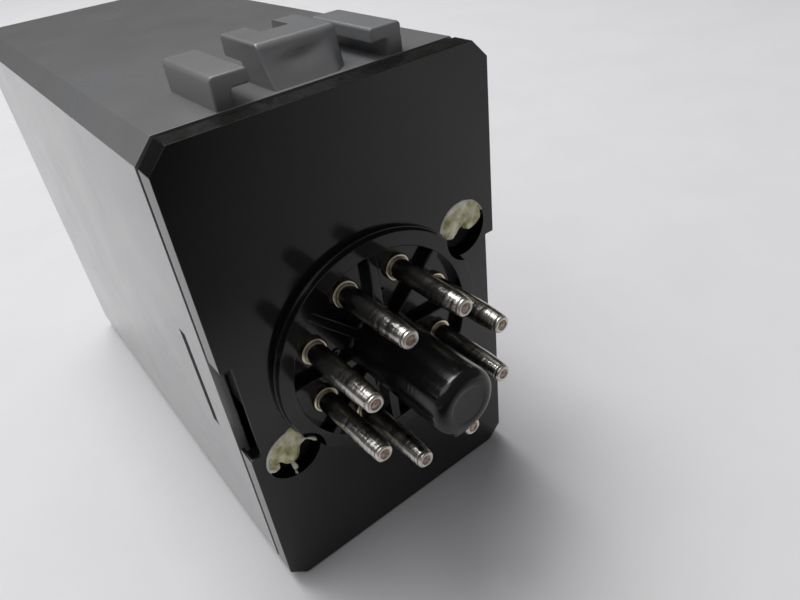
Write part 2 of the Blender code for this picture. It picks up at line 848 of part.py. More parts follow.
def build_relay_magnet(materials):
    """Header, yoke, core, bobbin and coil."""
    level = relay_levels()
    place = relay_places()
    relay_block("relay_header", (GAP, level["header"]), (place["start"], place["start"] + HEADER_LENGTH),
                HEADER_WIDTH, materials["plastic"])
    yoke = relay_block("relay_yoke", (level["header"] + GAP, level["foot"]),
                       (place["hinge"] - YOKE_LENGTH, place["hinge"]), YOKE_WIDTH, materials["steel"])
    upright = relay_block("yoke_upright", (level["header"] + GAP, level["armature"] - GAP),
                          (place["hinge"] - YOKE_SHEET, place["hinge"]), YOKE_WIDTH, None)
    join(yoke, upright)
    pole_foot = level["pole"] - POLE_FACE_HEIGHT
    core_profile = [
        (0, level["pole"]),
        (POLE_FACE / 2, level["pole"]),
        (POLE_FACE / 2, pole_foot),
        (POLE_DIAMETER / 2, pole_foot),
        (POLE_DIAMETER / 2, level["bobbin"]),
        (0, level["bobbin"]),
    ]
    axis = on_relay(0, place["coil"])
    turned("relay_core", core_profile, axis, RIGHTWARD, ROUND, materials["steel"])
    build_bobbin(axis, level["bobbin"], materials)


def build_bobbin(axis, foot, materials):
    """Spool with two flanges, and the coil wound between them."""
    bore = POLE_DIAMETER / 2 + GAP
    tube = bore + BOBBIN_WALL
    flange = BOBBIN_FLANGE / 2
    top = foot + BOBBIN_LENGTH
    spool = [
        (bore, top),
        (flange, top),
        (flange, top - BOBBIN_WALL),
        (tube, top - BOBBIN_WALL),
        (tube, foot + BOBBIN_WALL),
        (flange, foot + BOBBIN_WALL),
        (flange, foot),
        (bore, foot),
        (bore, top),
    ]
    coil_top = top - BOBBIN_WALL - GAP
    coil_foot = foot + BOBBIN_WALL + GAP
    coil = [
        (tube + GAP, coil_top),
        (COIL_DIAMETER / 2, coil_top),
        (COIL_DIAMETER / 2, coil_foot),
        (tube + GAP, coil_foot),
        (tube + GAP, coil_top),
    ]
    turned("relay_bobbin", spool, axis, RIGHTWARD, ROUND, materials["plastic"])
    turned("relay_coil", coil, axis, RIGHTWARD, ROUND, materials["winding"])


def build_armature(materials):
    """Hinged armature with the contact blade on it, hung on an empty on the hinge axis."""
    level = relay_levels()
    place = relay_places()
    pivot = new_empty("armature_pivot", on_relay(level["armature"], place["hinge"]), origin)
    relay_block("armature", (level["armature"], level["armature"] + ARMATURE_SHEET),
                (place["free_end"], place["hinge"] + ARMATURE_TAIL), ARMATURE_WIDTH, materials["steel"], pivot)
    blade = relay_block("moving_contact", (level["blade"], level["blade"] + BLADE_SHEET),
                        (place["blade_tip"], place["blade_tip"] + BLADE_LENGTH), BLADE_WIDTH,
                        materials["contact"], pivot)
    button = rod("button", BUTTON_DIAMETER,
                 on_relay(level["button"] - BUTTON_HEIGHT / 2, place["blade_tip"] + BUTTON_INSET),
                 BUTTON_HEIGHT, RIGHTWARD, SMALL)
    join(blade, button)


def build_contacts(materials):
    """Fixed contacts bent over and under the moving button, and the return spring."""
    level = relay_levels()
    place = relay_places()
    foot = level["header"] + GAP
    reach = place["blade_tip"] + 2 * BUTTON_INSET
    make_leg = place["blade_tip"] - CONTACT_SPACING - CONTACT_SHEET
    break_leg = make_leg - CONTACT_SPACING - CONTACT_SHEET
    break_arm = level["button"] + BUTTON_HEIGHT / 2 + GAP
    make_arm = level["button"] - BUTTON_HEIGHT / 2 - CONTACT_TRAVEL - GAP - CONTACT_SHEET
    for name, leg, arm in (("break_contact", break_leg, break_arm), ("make_contact", make_leg, make_arm)):
        strip = relay_block(name, (foot, arm + CONTACT_SHEET), (leg, leg + CONTACT_SHEET), CONTACT_WIDTH,
                            materials["contact"])
        bend = relay_block(f"{name}_arm", (arm, arm + CONTACT_SHEET), (leg, reach), CONTACT_WIDTH, None)
        join(strip, bend)
    spring_face = place["hinge"] + GAP
    spring_top = level["armature"] - GAP
    relay_block("return_spring", (spring_top - SPRING_LENGTH, spring_top),
                (spring_face, spring_face + SPRING_SHEET), SPRING_WIDTH, materials["contact"])


def build_electronics(materials):
    """Filter capacitor, rectifier and comparator chip on the boards."""
    radius = CAPACITOR_DIAMETER / 2
    profile = [
        (0, CAPACITOR_LENGTH),
        *fillet(radius, CAPACITOR_LENGTH, CAPACITOR_ROUND, 3),
        (radius, 0),
        (0, 0),
    ]
    seat = (BOARD_X - GAP, BOARD_START + CAPACITOR_SETBACK, -CAPACITOR_DROP)
    turned("filter_capacitor", profile, seat, LEFTWARD, ROUND, materials["sleeve"])
    place = relay_places()
    bridge = place["hinge"] + ARMATURE_TAIL + BRIDGE_CLEARANCE
    block(
        "bridge_rectifier",
        (BOARD_X - GAP - BRIDGE_HEIGHT, bridge, BRIDGE_UP - BRIDGE_WIDTH / 2),
        (BOARD_X - GAP, bridge + BRIDGE_LENGTH, BRIDGE_UP + BRIDGE_WIDTH / 2),
        materials["plastic"],
    )
    chip = place["start"] + HEADER_LENGTH + CHIP_CLEARANCE
    block(
        "comparator_chip",
        (GAP - BOARD_X, chip, CHIP_UP - CHIP_WIDTH / 2),
        (GAP - BOARD_X + CHIP_HEIGHT, chip + CHIP_LENGTH, CHIP_UP + CHIP_WIDTH / 2),
        materials["plastic"],
    )


def smooth_points(points, steps):
    """Points along a smooth curve through the given ones."""
    padded = [points[0] * 2 - points[1], *points, points[-1] * 2 - points[-2]]
    found = []
    for before, start, end, after in zip(padded, padded[1:], padded[2:], padded[3:]):
        for step in range(steps):
            t = step / steps
            bend = (2 * before - 5 * start + 4 * end - after) * t * t
            twist = (3 * start - 3 * end + after - before) * t * t * t
            found.append((2 * start + (end - before) * t + bend + twist) / 2)
    return [*found, points[-1]]


def build_wires(material):
    """One wire from each pin's tail to its own pad on the nearer board."""
    landing_x = BOARD_X - GAP - WIRE_DIAMETER / 2
    start_y = PLATE_THICKNESS + PIN_TAIL + GAP
    turn_y = start_y + WIRE_LEAD
    pad_y = turn_y + WIRE_RUN
    for number, (x, z) in pin_places().items():
        side = math.copysign(1.0, x)
        upper = abs(z) > PIN_CIRCLE / 4
        pad_z = math.copysign(WIRE_SPREAD if upper else WIRE_LANDING, z)
        pad = Vector((side * landing_x, pad_y, pad_z))
        turn = Vector((x, turn_y, z))
        route = [
            Vector((x, start_y, z)),
            turn,
            (turn + pad) / 2,
            pad,
            pad + Vector((0, WIRE_LAY, 0)),
        ]
        curve = poly_curve(f"wire_{number}", [tuple(point) for point in smooth_points(route, 3)], False, "3D")
        curve.bevel_depth = WIRE_DIAMETER / 2
        curve.bevel_resolution = 1
        curve.use_fill_caps = True
        drawn = bpy.data.objects.new(f"wire_{number}_route", curve)
        bpy.context.scene.collection.objects.link(drawn)
        wire = curve_to_mesh(drawn)
        wire.name = f"wire_{number}"
        wire.data.shade_smooth()
        adopt(wire, material)


clear_scene()
parts = new_collection("control_relay")
cutters = new_collection("cutters")
origin = new_empty("plug_axis", (0, FACE_Y, AXIS_Z))

grey_plastic = new_material("grey_plastic", (0.30, 0.30, 0.31), 0.45)
black_plastic = new_material("black_plastic", (0.012, 0.012, 0.013), 0.22)
nickel = new_material("nickel", (0.62, 0.60, 0.56), 0.25, 1.0)
sealant = new_material("sealant", (0.55, 0.52, 0.33), 0.25)
black_steel = new_material("black_steel", (0.03, 0.03, 0.03), 0.45, 1.0)
zinc_steel = new_material("zinc_steel", (0.55, 0.56, 0.58), 0.35, 1.0)
board_laminate = new_material("board_laminate", (0.05, 0.16, 0.07), 0.45)
core_steel = new_material("core_steel", (0.16, 0.16, 0.17), 0.5, 0.8)
black_moulding = new_material("black_moulding", (0.02, 0.02, 0.022), 0.5)
winding_tape = new_material("winding_tape", (0.55, 0.33, 0.06), 0.4)
contact_alloy = new_material("contact_alloy", (0.62, 0.42, 0.22), 0.3, 1.0)
blue_sleeve = new_material("blue_sleeve", (0.03, 0.05, 0.12), 0.35)
label_sheet = new_material("label_sheet", (0.55, 0.56, 0.57), 0.4)
red_lens = new_material("red_lens", (0.45, 0.02, 0.02), 0.2)
wire_sleeve = new_material("wire_sleeve", (0.5, 0.5, 0.48), 0.45)

works = {
    "plastic": black_moulding,
    "steel": zinc_steel,
    "winding": winding_tape,
    "contact": contact_alloy,
    "sleeve": blue_sleeve,
}

build_case(grey_plastic, label_sheet)
build_plug_base(black_plastic)
build_pins(nickel)
build_fixings(black_steel, sealant)
build_boards(build_chassis(zinc_steel), board_laminate, zinc_steel)
build_transformer(core_steel, black_moulding, winding_tape)
build_relay_magnet(works)
build_armature(works)
build_contacts(works)
build_electronics(works)
build_led(red_lens)
build_wires(wire_sleeve)
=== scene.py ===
"""Looks of the plug-in control relay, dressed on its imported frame.

Shapes are drawn in millimetres from the plug axis on the front face of the
plug plate: x to the right, y into the box, z up. Each piece is moved to the
frame's metres when it is finished.
"""

import math

import bmesh
import bpy
from mathutils import Matrix, Vector, noise


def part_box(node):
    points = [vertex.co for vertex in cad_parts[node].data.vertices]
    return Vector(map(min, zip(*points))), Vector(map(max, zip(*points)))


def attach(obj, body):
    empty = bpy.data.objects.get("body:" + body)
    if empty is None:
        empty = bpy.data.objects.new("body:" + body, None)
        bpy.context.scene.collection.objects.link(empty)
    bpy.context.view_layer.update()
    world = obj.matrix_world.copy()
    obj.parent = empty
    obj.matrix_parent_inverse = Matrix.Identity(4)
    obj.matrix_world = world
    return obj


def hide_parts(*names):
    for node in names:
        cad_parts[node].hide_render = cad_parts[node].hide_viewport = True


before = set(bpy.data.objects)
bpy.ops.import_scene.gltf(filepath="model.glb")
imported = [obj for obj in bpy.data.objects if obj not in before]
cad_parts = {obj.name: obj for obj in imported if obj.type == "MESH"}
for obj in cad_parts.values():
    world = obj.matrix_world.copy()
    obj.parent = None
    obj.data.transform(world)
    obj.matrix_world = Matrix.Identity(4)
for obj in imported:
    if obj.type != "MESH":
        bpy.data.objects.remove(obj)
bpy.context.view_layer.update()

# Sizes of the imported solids, in millimetres
MM = 0.001
PLATE_WIDTH = 35.4
PLATE_HEIGHT = 56.1
PLATE_THICKNESS = 2.45
CORNER = 1.95
NOTCH_LENGTH = 12.1
NOTCH_DEPTH = 1.2
BOSS_RADIUS = 13.35
BOSS_HEIGHT = 1.25
POCKET_RADIUS = 11.4
RIB_WIDTH = 1.1
POST_RADIUS = 3.7
POST_LENGTH = 14.4
PIN_CIRCLE = 17.45
PIN_RADIUS = 1.18
PIN_LENGTH = 11.0
FIX_X = 12.95
FIX_Z = 8.35
FIX_RADIUS = 3.3
FIX_DEPTH = 2.1
RIM_Y = 3.2
END_Y = 74.1
WALL = 1.2
FRONT_WALL = 1.8
DRAFT = 0.0075
HALF_X = PLATE_WIDTH / 2
HALF_Z = PLATE_HEIGHT / 2

# Place of the plug axis in the frame
plug_low, plug_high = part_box("plug_base")
ORIGIN = Vector((0.0, plug_low.y + POST_LENGTH * MM, (plug_low.z + plug_high.z) / 2))

noise.seed_set(7)


# Small mesh tools

def round_corners(points, radius, steps=3):
    """Closed outline with every corner turned into an arc of one radius, or one for each corner."""
    radii = radius if isinstance(radius, (list, tuple)) else [radius] * len(points)
    points = [Vector(point) for point in points]
    rounded = []
    for index, point in enumerate(points):
        towards = (points[index - 1] - point).normalized()
        onwards = (points[(index + 1) % len(points)] - point).normalized()
        half = towards.angle(onwards) / 2
        if half > math.radians(89):
            rounded.extend([point] * (steps + 1))
            continue
        size = radii[index]
        centre = point + (towards + onwards).normalized() * size / math.sin(half)
        first = point + towards * size / math.tan(half) - centre
        last = point + onwards * size / math.tan(half) - centre
        for step in range(steps + 1):
            arm = first.lerp(last, step / steps)
            rounded.append(centre + arm.normalized() * size)
    return rounded


def inset(points, distance):
    """Closed anticlockwise outline with every side moved inwards."""
    points = [Vector(point) for point in points]
    moved = []
    for index, point in enumerate(points):
        before = (point - points[index - 1]).normalized()
        after = (points[(index + 1) % len(points)] - point).normalized()
        left_before = Vector((-before.y, before.x))
        left_after = Vector((-after.y, after.x))
        mitre = (left_before + left_after).normalized()
        moved.append(point + mitre * distance / mitre.dot(left_before))
    return moved


def is_inner_corner(points, index):
    before = Vector(points[index]) - Vector(points[index - 1])
    after = Vector(points[(index + 1) % len(points)]) - Vector(points[index])
    return before.x * after.y - before.y * after.x < -1e-9


def loft(rings, closed_ends=True):
    """Skin over rings of points, with the first and last ring filled in."""
    bm = bmesh.new()
    rows = [[bm.verts.new(point) for point in ring] for ring in rings]
    for lower, upper in zip(rows, rows[1:]):
        for index in range(len(lower)):
            follow = (index + 1) % len(lower)
            bm.faces.new((lower[index], lower[follow], upper[follow], upper[index]))
    if closed_ends:
        bm.faces.new(reversed(rows[0]))
        bm.faces.new(rows[-1])
    bmesh.ops.remove_doubles(bm, verts=bm.verts, dist=1e-4)
    bmesh.ops.recalc_face_normals(bm, faces=bm.faces)
    return bm


def end_steps(start, end, radius, steps=3):
    """Places along a bar with the inset of each, for rounded ends."""
    quarter = [math.pi / 2 * step / steps for step in range(steps + 1)]
    near = [(start + radius * (1 - math.cos(a)), radius * (1 - math.sin(a))) for a in quarter]
    far = [(end - radius * (1 - math.sin(a)), radius * (1 - math.cos(a))) for a in quarter]
    return near + far


def bar(outline, radii, start, end, end_radius, to_point, stations=()):
    """Bar of one outline with rounded corners and rounded ends, placed point by point."""
    rings = []
    places = end_steps(start, end, end_radius)
    places = places[:4] + [(place, 0.0) for place in stations] + places[4:]
    for along, drawn_in in places:
        corners = [
            max(size + (drawn_in if is_inner_corner(outline, index) else -drawn_in), 0.01)
            for index, size in enumerate(radii)
        ]
        ring = round_corners(inset(outline, drawn_in), corners)
        rings.append([to_point(point.x, point.y, along) for point in ring])
    return loft(rings)


def lathe(profile, segments, place=(0.0, 0.0), closed=False):
    """Turned shape about the pin direction from (radius, height) points."""
    bm = bmesh.new()
    rows = []
    for radius, height in profile:
        count = 1 if radius < 1e-6 else segments
        turns = [2 * math.pi * index / segments for index in range(count)]
        rows.append([
            bm.verts.new((place[0] + radius * math.cos(a), -height, place[1] + radius * math.sin(a)))
            for a in turns
        ])
    pairs = list(zip(rows, rows[1:])) + ([(rows[-1], rows[0])] if closed else [])
    for lower, upper in pairs:
        for index in range(segments):
            follow = (index + 1) % segments
            corners = [lower[index % len(lower)], lower[follow % len(lower)],
                       upper[follow % len(upper)], upper[index % len(upper)]]
            unique = list(dict.fromkeys(corners))
            if len(unique) > 2:
                bm.faces.new(unique)
    bmesh.ops.recalc_face_normals(bm, faces=bm.faces)
    return bm


def arc(centre, radius, start, end, steps=4):
    """Points of an arc in degrees, for profiles."""
    turns = [math.radians(start + (end - start) * step / steps) for step in range(steps + 1)]
    return [(centre[0] + radius * math.cos(a), centre[1] + radius * math.sin(a)) for a in turns]


def ease(value, low, high):
    t = max(0.0, min(1.0, (value - low) / (high - low)))
    return t * t * (3 - 2 * t)


def block(low, high, bevel=0.0, segments=2):
    low, high = Vector(low), Vector(high)
    bm = bmesh.new()
    bmesh.ops.create_cube(bm, size=1.0)
    bmesh.ops.scale(bm, vec=high - low, verts=bm.verts)
    bmesh.ops.translate(bm, vec=(low + high) / 2, verts=bm.verts)
    if bevel:
        bmesh.ops.bevel(bm, geom=bm.edges[:], offset=bevel, segments=segments, profile=0.5, affect="EDGES")
    return bm


def merged(*parts):
    """One mesh of several, without joining their skins."""
    whole = bmesh.new()
    for part in parts:
        mesh = bpy.data.meshes.new("part")
        part.to_mesh(mesh)
        part.free()
        whole.from_mesh(mesh)
        bpy.data.meshes.remove(mesh)
    return whole


def carved(body, *tools):
    """Mesh with other closed meshes cut out of it."""
    made = []
    for bm in (body, *tools):
        mesh = bpy.data.meshes.new("carving")
        bm.to_mesh(mesh)
        bm.free()
        obj = bpy.data.objects.new("carving", mesh)
        bpy.context.scene.collection.objects.link(obj)
        made.append(obj)
    for tool in made[1:]:
        cut = made[0].modifiers.new("cut", "BOOLEAN")
        cut.operation = "DIFFERENCE"
        cut.solver = "EXACT"
        cut.object = tool
    shaped = made[0].evaluated_get(bpy.context.evaluated_depsgraph_get()).to_mesh()
    bm = bmesh.new()
    bm.from_mesh(shaped)
    for obj in made:
        mesh = obj.data
        bpy.data.objects.remove(obj)
        bpy.data.meshes.remove(mesh)
    return bm


def piece(bm, name, material, body="base", stands_for=(), sharp=32.0):
    """Finished piece in the frame's metres that rides on a body."""
    bmesh.ops.scale(bm, vec=(MM, MM, MM), verts=bm.verts)
    bmesh.ops.translate(bm, vec=ORIGIN, verts=bm.verts)
    mesh = bpy.data.meshes.new(name)
    bm.to_mesh(mesh)
    bm.free()
    mesh.materials.append(material)
    mesh.shade_smooth()
    mesh.set_sharp_from_angle(angle=math.radians(sharp))
    obj = bpy.data.objects.new(name, mesh)
    bpy.context.scene.collection.objects.link(obj)
    flat = obj.modifiers.new("flat faces", "WEIGHTED_NORMAL")
    flat.keep_sharp = True
    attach(obj, body)
    if stands_for:
        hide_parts(*stands_for)
    return obj


# Materials

class Look:
    """A material that is put together from small node steps."""

    def __init__(self, name, **sockets):
        self.material = bpy.data.materials.new(name)
        self.material.use_nodes = True
        self.tree = self.material.node_tree
        self.shader = self.tree.nodes["Principled BSDF"]
        for socket, value in sockets.items():
            self.shader.inputs[socket.replace("_", " ")].default_value = value
        self.place = self.tree.nodes.new("ShaderNodeTexCoord").outputs["Object"]

    def stretched(self, scale, turn=(0.0, 0.0, 0.0)):
        """Object place with its axes stretched and turned."""
        mapping = self.tree.nodes.new("ShaderNodeMapping")
        mapping.inputs["Scale"].default_value = scale
        mapping.inputs["Rotation"].default_value = turn
        self.tree.links.new(self.place, mapping.inputs["Vector"])
        return mapping.outputs["Vector"]

    def grain(self, scale, detail=3.0, rough=0.55, place=None):
        node = self.tree.nodes.new("ShaderNodeTexNoise")
        node.inputs["Scale"].default_value = scale
        node.inputs["Detail"].default_value = detail
        node.inputs["Roughness"].default_value = rough
        self.tree.links.new(place or self.place, node.inputs["Vector"])
        return node.outputs["Fac"]

    def cells(self, scale, place=None):
        """Distance from scattered points, and a chance for each of them."""
        node = self.tree.nodes.new("ShaderNodeTexVoronoi")
        node.inputs["Scale"].default_value = scale
        self.tree.links.new(place or self.place, node.inputs["Vector"])
        return node.outputs["Distance"], node.outputs["Color"]

    def ramp(self, value, *stops):
        """Colour or grey ramp through (position, colour) stops."""
        node = self.tree.nodes.new("ShaderNodeValToRGB")
        while len(node.color_ramp.elements) < len(stops):
            node.color_ramp.elements.new(1.0)
        for element, (position, colour) in zip(node.color_ramp.elements, stops):
            element.position = position
            grey = isinstance(colour, (int, float))
            element.color = (colour, colour, colour, 1.0) if grey else (*colour, 1.0)
        self.tree.links.new(value, node.inputs["Fac"])
        return node.outputs["Color"]

    def out(self):
        """Millimetres out of the plate's front face, along the pins."""
        place = self.tree.nodes.new("ShaderNodeSeparateXYZ")
        self.tree.links.new(self.place, place.inputs["Vector"])
        return self.math("MULTIPLY", self.math("SUBTRACT", ORIGIN.y, place.outputs["Y"]), 1.0 / MM)

    def above(self, level):
        """Millimetres above a level, measured from the plug axis."""
        place = self.tree.nodes.new("ShaderNodeSeparateXYZ")
        self.tree.links.new(self.place, place.inputs["Vector"])
        return self.math("MULTIPLY", self.math("SUBTRACT", place.outputs["Z"], ORIGIN.z + level * MM), 1.0 / MM)

    def along_pin(self, *stops):
        """Grey ramp from the plate's face, 0, to the pins' tips, 1."""
        return self.ramp(self.math("DIVIDE", self.out(), PIN_LENGTH), *stops)

    def math(self, operation, first, second):
        node = self.tree.nodes.new("ShaderNodeMath")
        node.operation = operation
        self.fill(node.inputs, (first, second))
        return node.outputs["Value"]

    def mix(self, share, first, second):
        node = self.tree.nodes.new("ShaderNodeMix")
        node.data_type = "RGBA"
        self.fill((node.inputs[0], node.inputs[6], node.inputs[7]), (share, first, second))
        return node.outputs[2]

    def fill(self, sockets, values):
        """Give each socket a number, a colour or another node's result."""
        for socket, value in zip(sockets, values):
            if isinstance(value, (int, float)):
                socket.default_value = value
            elif isinstance(value, tuple):
                socket.default_value = (*value, 1.0)
            else:
                self.tree.links.new(value, socket)

    def put(self, socket, value):
        self.tree.links.new(value, self.shader.inputs[socket])

    def bump(self, height, strength, distance):
        node = self.tree.nodes.new("ShaderNodeBump")
        node.inputs["Strength"].default_value = strength
        node.inputs["Distance"].default_value = distance
        self.tree.links.new(height, node.inputs["Height"])
        self.put("Normal", node.outputs["Normal"])


def grey_plastic(name="grey_plastic", coat=0.55, low=0.22, high=0.28):
    """Moulded grey plastic with a fine grain, faint clouds and handling marks."""
    look = Look(name, IOR=1.5, Coat_Weight=coat, Coat_Roughness=0.12)
    clouds = look.ramp(look.grain(55.0, 4.0), (0.32, (0.188, 0.184, 0.182)), (0.5, (0.200, 0.200, 0.201)),
                       (0.68, (0.192, 0.197, 0.207)))
    marks = look.ramp(look.grain(150.0, 3.0, 0.5), (0.55, 0.0), (0.80, 0.22))
    look.put("Base Color", look.mix(marks, clouds, (0.162, 0.157, 0.140)))
    look.put("Roughness", look.ramp(look.grain(110.0, 2.0), (0.3, low), (0.7, high)))
    look.bump(look.grain(4200.0, 2.0), 0.04, 0.00002)
    return look.material


def black_plastic(name="black_plastic", low=0.09, high=0.15, rubbed=0.0):
    """Glossy black moulding with dust specks and a dull mottled upper edge, or rubbed round by sockets, with painted
    shade where the post's end reflects less.
    """
    look = Look(name, IOR=1.5)
    distance, chance = look.cells(420.0)
    speck = look.ramp(distance, (0.015, 1.0), (0.045, 0.0))
    chosen = look.ramp(chance, (0.80, 0.0), (0.82, 1.0))
    dust = look.math("MULTIPLY", speck, chosen)
    behind = look.ramp(look.math("MULTIPLY", look.out(), -1.0), (0.06, 0.0), (0.16, 1.0))
    edge = look.math("MULTIPLY", behind, look.ramp(look.above(HALF_Z - 0.5), (0.2, 0.0), (0.45, 1.0)))
    front = look.ramp(look.grain(90.0, 4.0), (0.3, 0.0035), (0.7, 0.0060))
    rim = look.ramp(look.grain(900.0, 4.0), (0.35, (0.003, 0.003, 0.003)), (0.7, (0.011, 0.010, 0.008)))
    look.put("Base Color", look.mix(dust, look.mix(edge, front, rim), (0.30, 0.29, 0.27)))
    smooth = look.ramp(look.grain(160.0, 6.0, 0.65), (0.3, low), (0.7, high))
    look.put("Roughness", look.mix(edge, smooth, look.ramp(look.grain(700.0), (0.3, 0.22), (0.7, 0.32))))
    # Painted shade: the post's end gets a lower specular level, so that its reflection looks darker.
    shaded_end_reflection = look.ramp(look.math("DIVIDE", look.out(), POST_LENGTH), (0.93, 0.5), (0.97, 0.36))
    look.put("Specular IOR Level", look.mix(edge, shaded_end_reflection, (0.26, 0.26, 0.26)))
    mottled = look.math("MULTIPLY", look.grain(900.0, 3.0), look.math("ADD", edge, 0.12))
    rings = look.grain(1.0, 3.0, 0.6, look.stretched((90.0, 4200.0, 90.0)))
    look.bump(look.math("ADD", mottled, look.math("MULTIPLY", rings, rubbed)), 0.30, 0.00003)
    return look.material


def nickel(name="nickel", colour=(0.64, 0.615, 0.575), root=0.20, worn_low=0.16, worn_high=0.27):
    """Plated metal, smooth at the root and scored round by sockets towards the tip."""
    look = Look(name, Metallic=1.0)
    rings = look.grain(1.0, 3.0, 0.6, look.stretched((200.0, 4400.0, 200.0)))
    patches = look.grain(1.0, 4.0, 0.6, look.stretched((420.0, 1700.0, 420.0)))
    worn = look.along_pin((0.38, 0.0), (0.60, 1.0))
    tone = tuple(channel * 0.72 for channel in colour)
    lines = look.math("MULTIPLY", look.ramp(rings, (0.40, 0.42), (0.54, 0.0)), worn)
    dark = tuple(channel * 0.30 for channel in colour)
    look.put("Base Color", look.mix(lines, look.ramp(patches, (0.30, tone), (0.62, colour)), dark))
    scuffed = look.ramp(patches, (0.35, worn_low), (0.65, worn_high))
    look.put("Roughness", look.mix(worn, (root, root, root), scuffed))
    scores = look.math("MULTIPLY", rings, look.ramp(patches, (0.35, 0.35), (0.60, 1.0)))
    look.bump(look.math("MULTIPLY", scores, look.math("ADD", worn, 0.04)), 0.60, 0.00006)
    return look.material


def solder():
    look = Look("solder", Metallic=0.85)
    look.put("Base Color", look.ramp(look.grain(2600.0, 4.0), (0.35, (0.16, 0.10, 0.075)), (0.65, (0.52, 0.40, 0.33))))
    look.put("Roughness", look.ramp(look.grain(3500.0, 3.0), (0.3, 0.22), (0.7, 0.5)))
    look.bump(look.grain(2400.0, 3.0), 0.5, 0.00006)
    return look.material


def sealant(name, thick, middle, skin):
    """Set translucent glue, paler at its skin and olive where it is thick."""
    look = Look(name, IOR=1.48, Subsurface_Weight=0.5, Subsurface_Scale=0.0008)
    look.shader.inputs["Subsurface Radius"].default_value = (1.0, 0.9, 0.45)
    look.put("Base Color", look.ramp(look.grain(560.0, 4.0), (0.36, thick), (0.5, middle), (0.66, skin)))
    look.put("Roughness", look.ramp(look.grain(700.0, 3.0), (0.3, 0.08), (0.7, 0.24)))
    look.bump(look.grain(1100.0, 3.0), 0.20, 0.00006)
    return look.material


def metal(name, dark, light, low, high, turn=(400.0, 400.0, 6000.0)):
    """Rolled sheet or drawn metal with a fine brushed direction."""
    look = Look(name, Metallic=1.0)
    brushed = look.grain(1.0, 4.0, 0.6, look.stretched(turn))
    look.put("Base Color", look.ramp(look.grain(260.0, 5.0), (0.3, dark), (0.7, light)))
    look.put("Roughness", look.ramp(brushed, (0.3, low), (0.7, high)))
    look.bump(brushed, 0.12, 0.00002)
    return look.material


def plastic(name, dark, light, low, high, scale=700.0):
    look = Look(name, IOR=1.5)
    look.put("Base Color", look.ramp(look.grain(scale, 4.0), (0.3, dark), (0.7, light)))
    look.put("Roughness", look.ramp(look.grain(scale * 0.6, 4.0), (0.3, low), (0.7, high)))
    look.bump(look.grain(scale * 5.0, 2.0), 0.10, 0.00002)
    return look.material


LOOKS = {
    "case": grey_plastic(),
    "clip": grey_plastic("clip_plastic", 0.28, 0.30, 0.40),
    "plug": black_plastic(),
    "post": black_plastic("rubbed_black", 0.13, 0.19, 2.0),
    "pin": nickel(),
    "collar": nickel("collar", (0.82, 0.73, 0.56), 0.22),
    "tinned": metal("tinned", (0.58, 0.55, 0.49), (0.78, 0.75, 0.68), 0.25, 0.42, (2200.0, 2200.0, 2200.0)),
    "solder": solder(),
    "seal": sealant("seal", (0.34, 0.32, 0.13), (0.61, 0.59, 0.37), (0.86, 0.83, 0.72)),
    "seal_skin": sealant("seal_skin", (0.50, 0.49, 0.37), (0.68, 0.67, 0.56), (0.80, 0.79, 0.71)),
    "screw": metal("screw_black", (0.004, 0.004, 0.004), (0.014, 0.014, 0.013), 0.3, 0.5),
    "zinc": metal("zinc", (0.48, 0.49, 0.50), (0.64, 0.65, 0.67), 0.25, 0.45),
    "board": plastic("board", (0.020, 0.085, 0.035), (0.035, 0.120, 0.050), 0.25, 0.40),
    "core": metal("core", (0.10, 0.10, 0.11), (0.22, 0.21, 0.20), 0.4, 0.6, (300.0, 9000.0, 300.0)),
    "moulding": plastic("moulding", (0.012, 0.012, 0.013), (0.022, 0.022, 0.023), 0.40, 0.55),
    "winding": plastic("winding", (0.45, 0.25, 0.04), (0.62, 0.38, 0.08), 0.25, 0.40),
    "enamel": metal("enamel", (0.34, 0.10, 0.035), (0.52, 0.20, 0.07), 0.22, 0.38, (900.0, 900.0, 900.0)),
    "trace": plastic("trace", (0.060, 0.210, 0.075), (0.085, 0.270, 0.105), 0.20, 0.32),
    "resistor": plastic("resistor", (0.42, 0.33, 0.20), (0.50, 0.40, 0.26), 0.35, 0.5),
    "band": plastic("band", (0.16, 0.045, 0.02), (0.22, 0.07, 0.03), 0.35, 0.5),
    "contact": metal("contact", (0.52, 0.33, 0.15), (0.72, 0.50, 0.27), 0.2, 0.4),
    "sleeve": plastic("sleeve", (0.018, 0.030, 0.085), (0.028, 0.045, 0.120), 0.25, 0.4),
    "label": plastic("label", (0.50, 0.51, 0.52), (0.58, 0.59, 0.60), 0.35, 0.5),
    "lamp": plastic("lamp", (0.34, 0.010, 0.010), (0.48, 0.022, 0.018), 0.10, 0.20),
    "wire": plastic("wire", (0.42, 0.42, 0.40), (0.55, 0.55, 0.52), 0.35, 0.5),
}

SLOT_LOOKS = {
    "case_grey": "case", "plug_black": "plug", "pin_nickel": "pin", "seal_clear": "seal",
    "screw_black": "screw", "zinc_steel": "zinc", "board": "board", "core_steel": "core",
    "black_moulding": "moulding", "winding": "winding", "contact": "contact",
    "capacitor_sleeve": "sleeve", "label": "label", "lamp_red": "lamp", "wire_sleeve": "wire",
}


def node_look(name):
    """Look of a CAD node from its name."""
    if name.startswith("pin_"):
        return "pin"
    if name.startswith("seal_"):
        return "seal"
    if name.startswith("base_screw"):
        return "screw"
    if name.startswith("wire_"):
        return "wire"
    if name.startswith("board_screw") or name in ("chassis", "relay_yoke", "relay_core", "armature"):
        return "zinc"
    return {
        "case": "case", "plug_base": "plug", "front_label": "label", "power_board": "board",
        "relay_board": "board", "transformer_core": "core", "transformer_winding": "winding",
        "relay_coil": "winding", "moving_contact": "contact", "make_contact": "contact",
        "break_contact": "contact", "return_spring": "contact", "filter_capacitor": "sleeve",
        "indicator_led": "lamp",
    }.get(name, "moulding")


for node_name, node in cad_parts.items():
    node.data.materials.clear()
    node.data.materials.append(LOOKS[node_look(node_name)])


# Case with its clip rails and hook

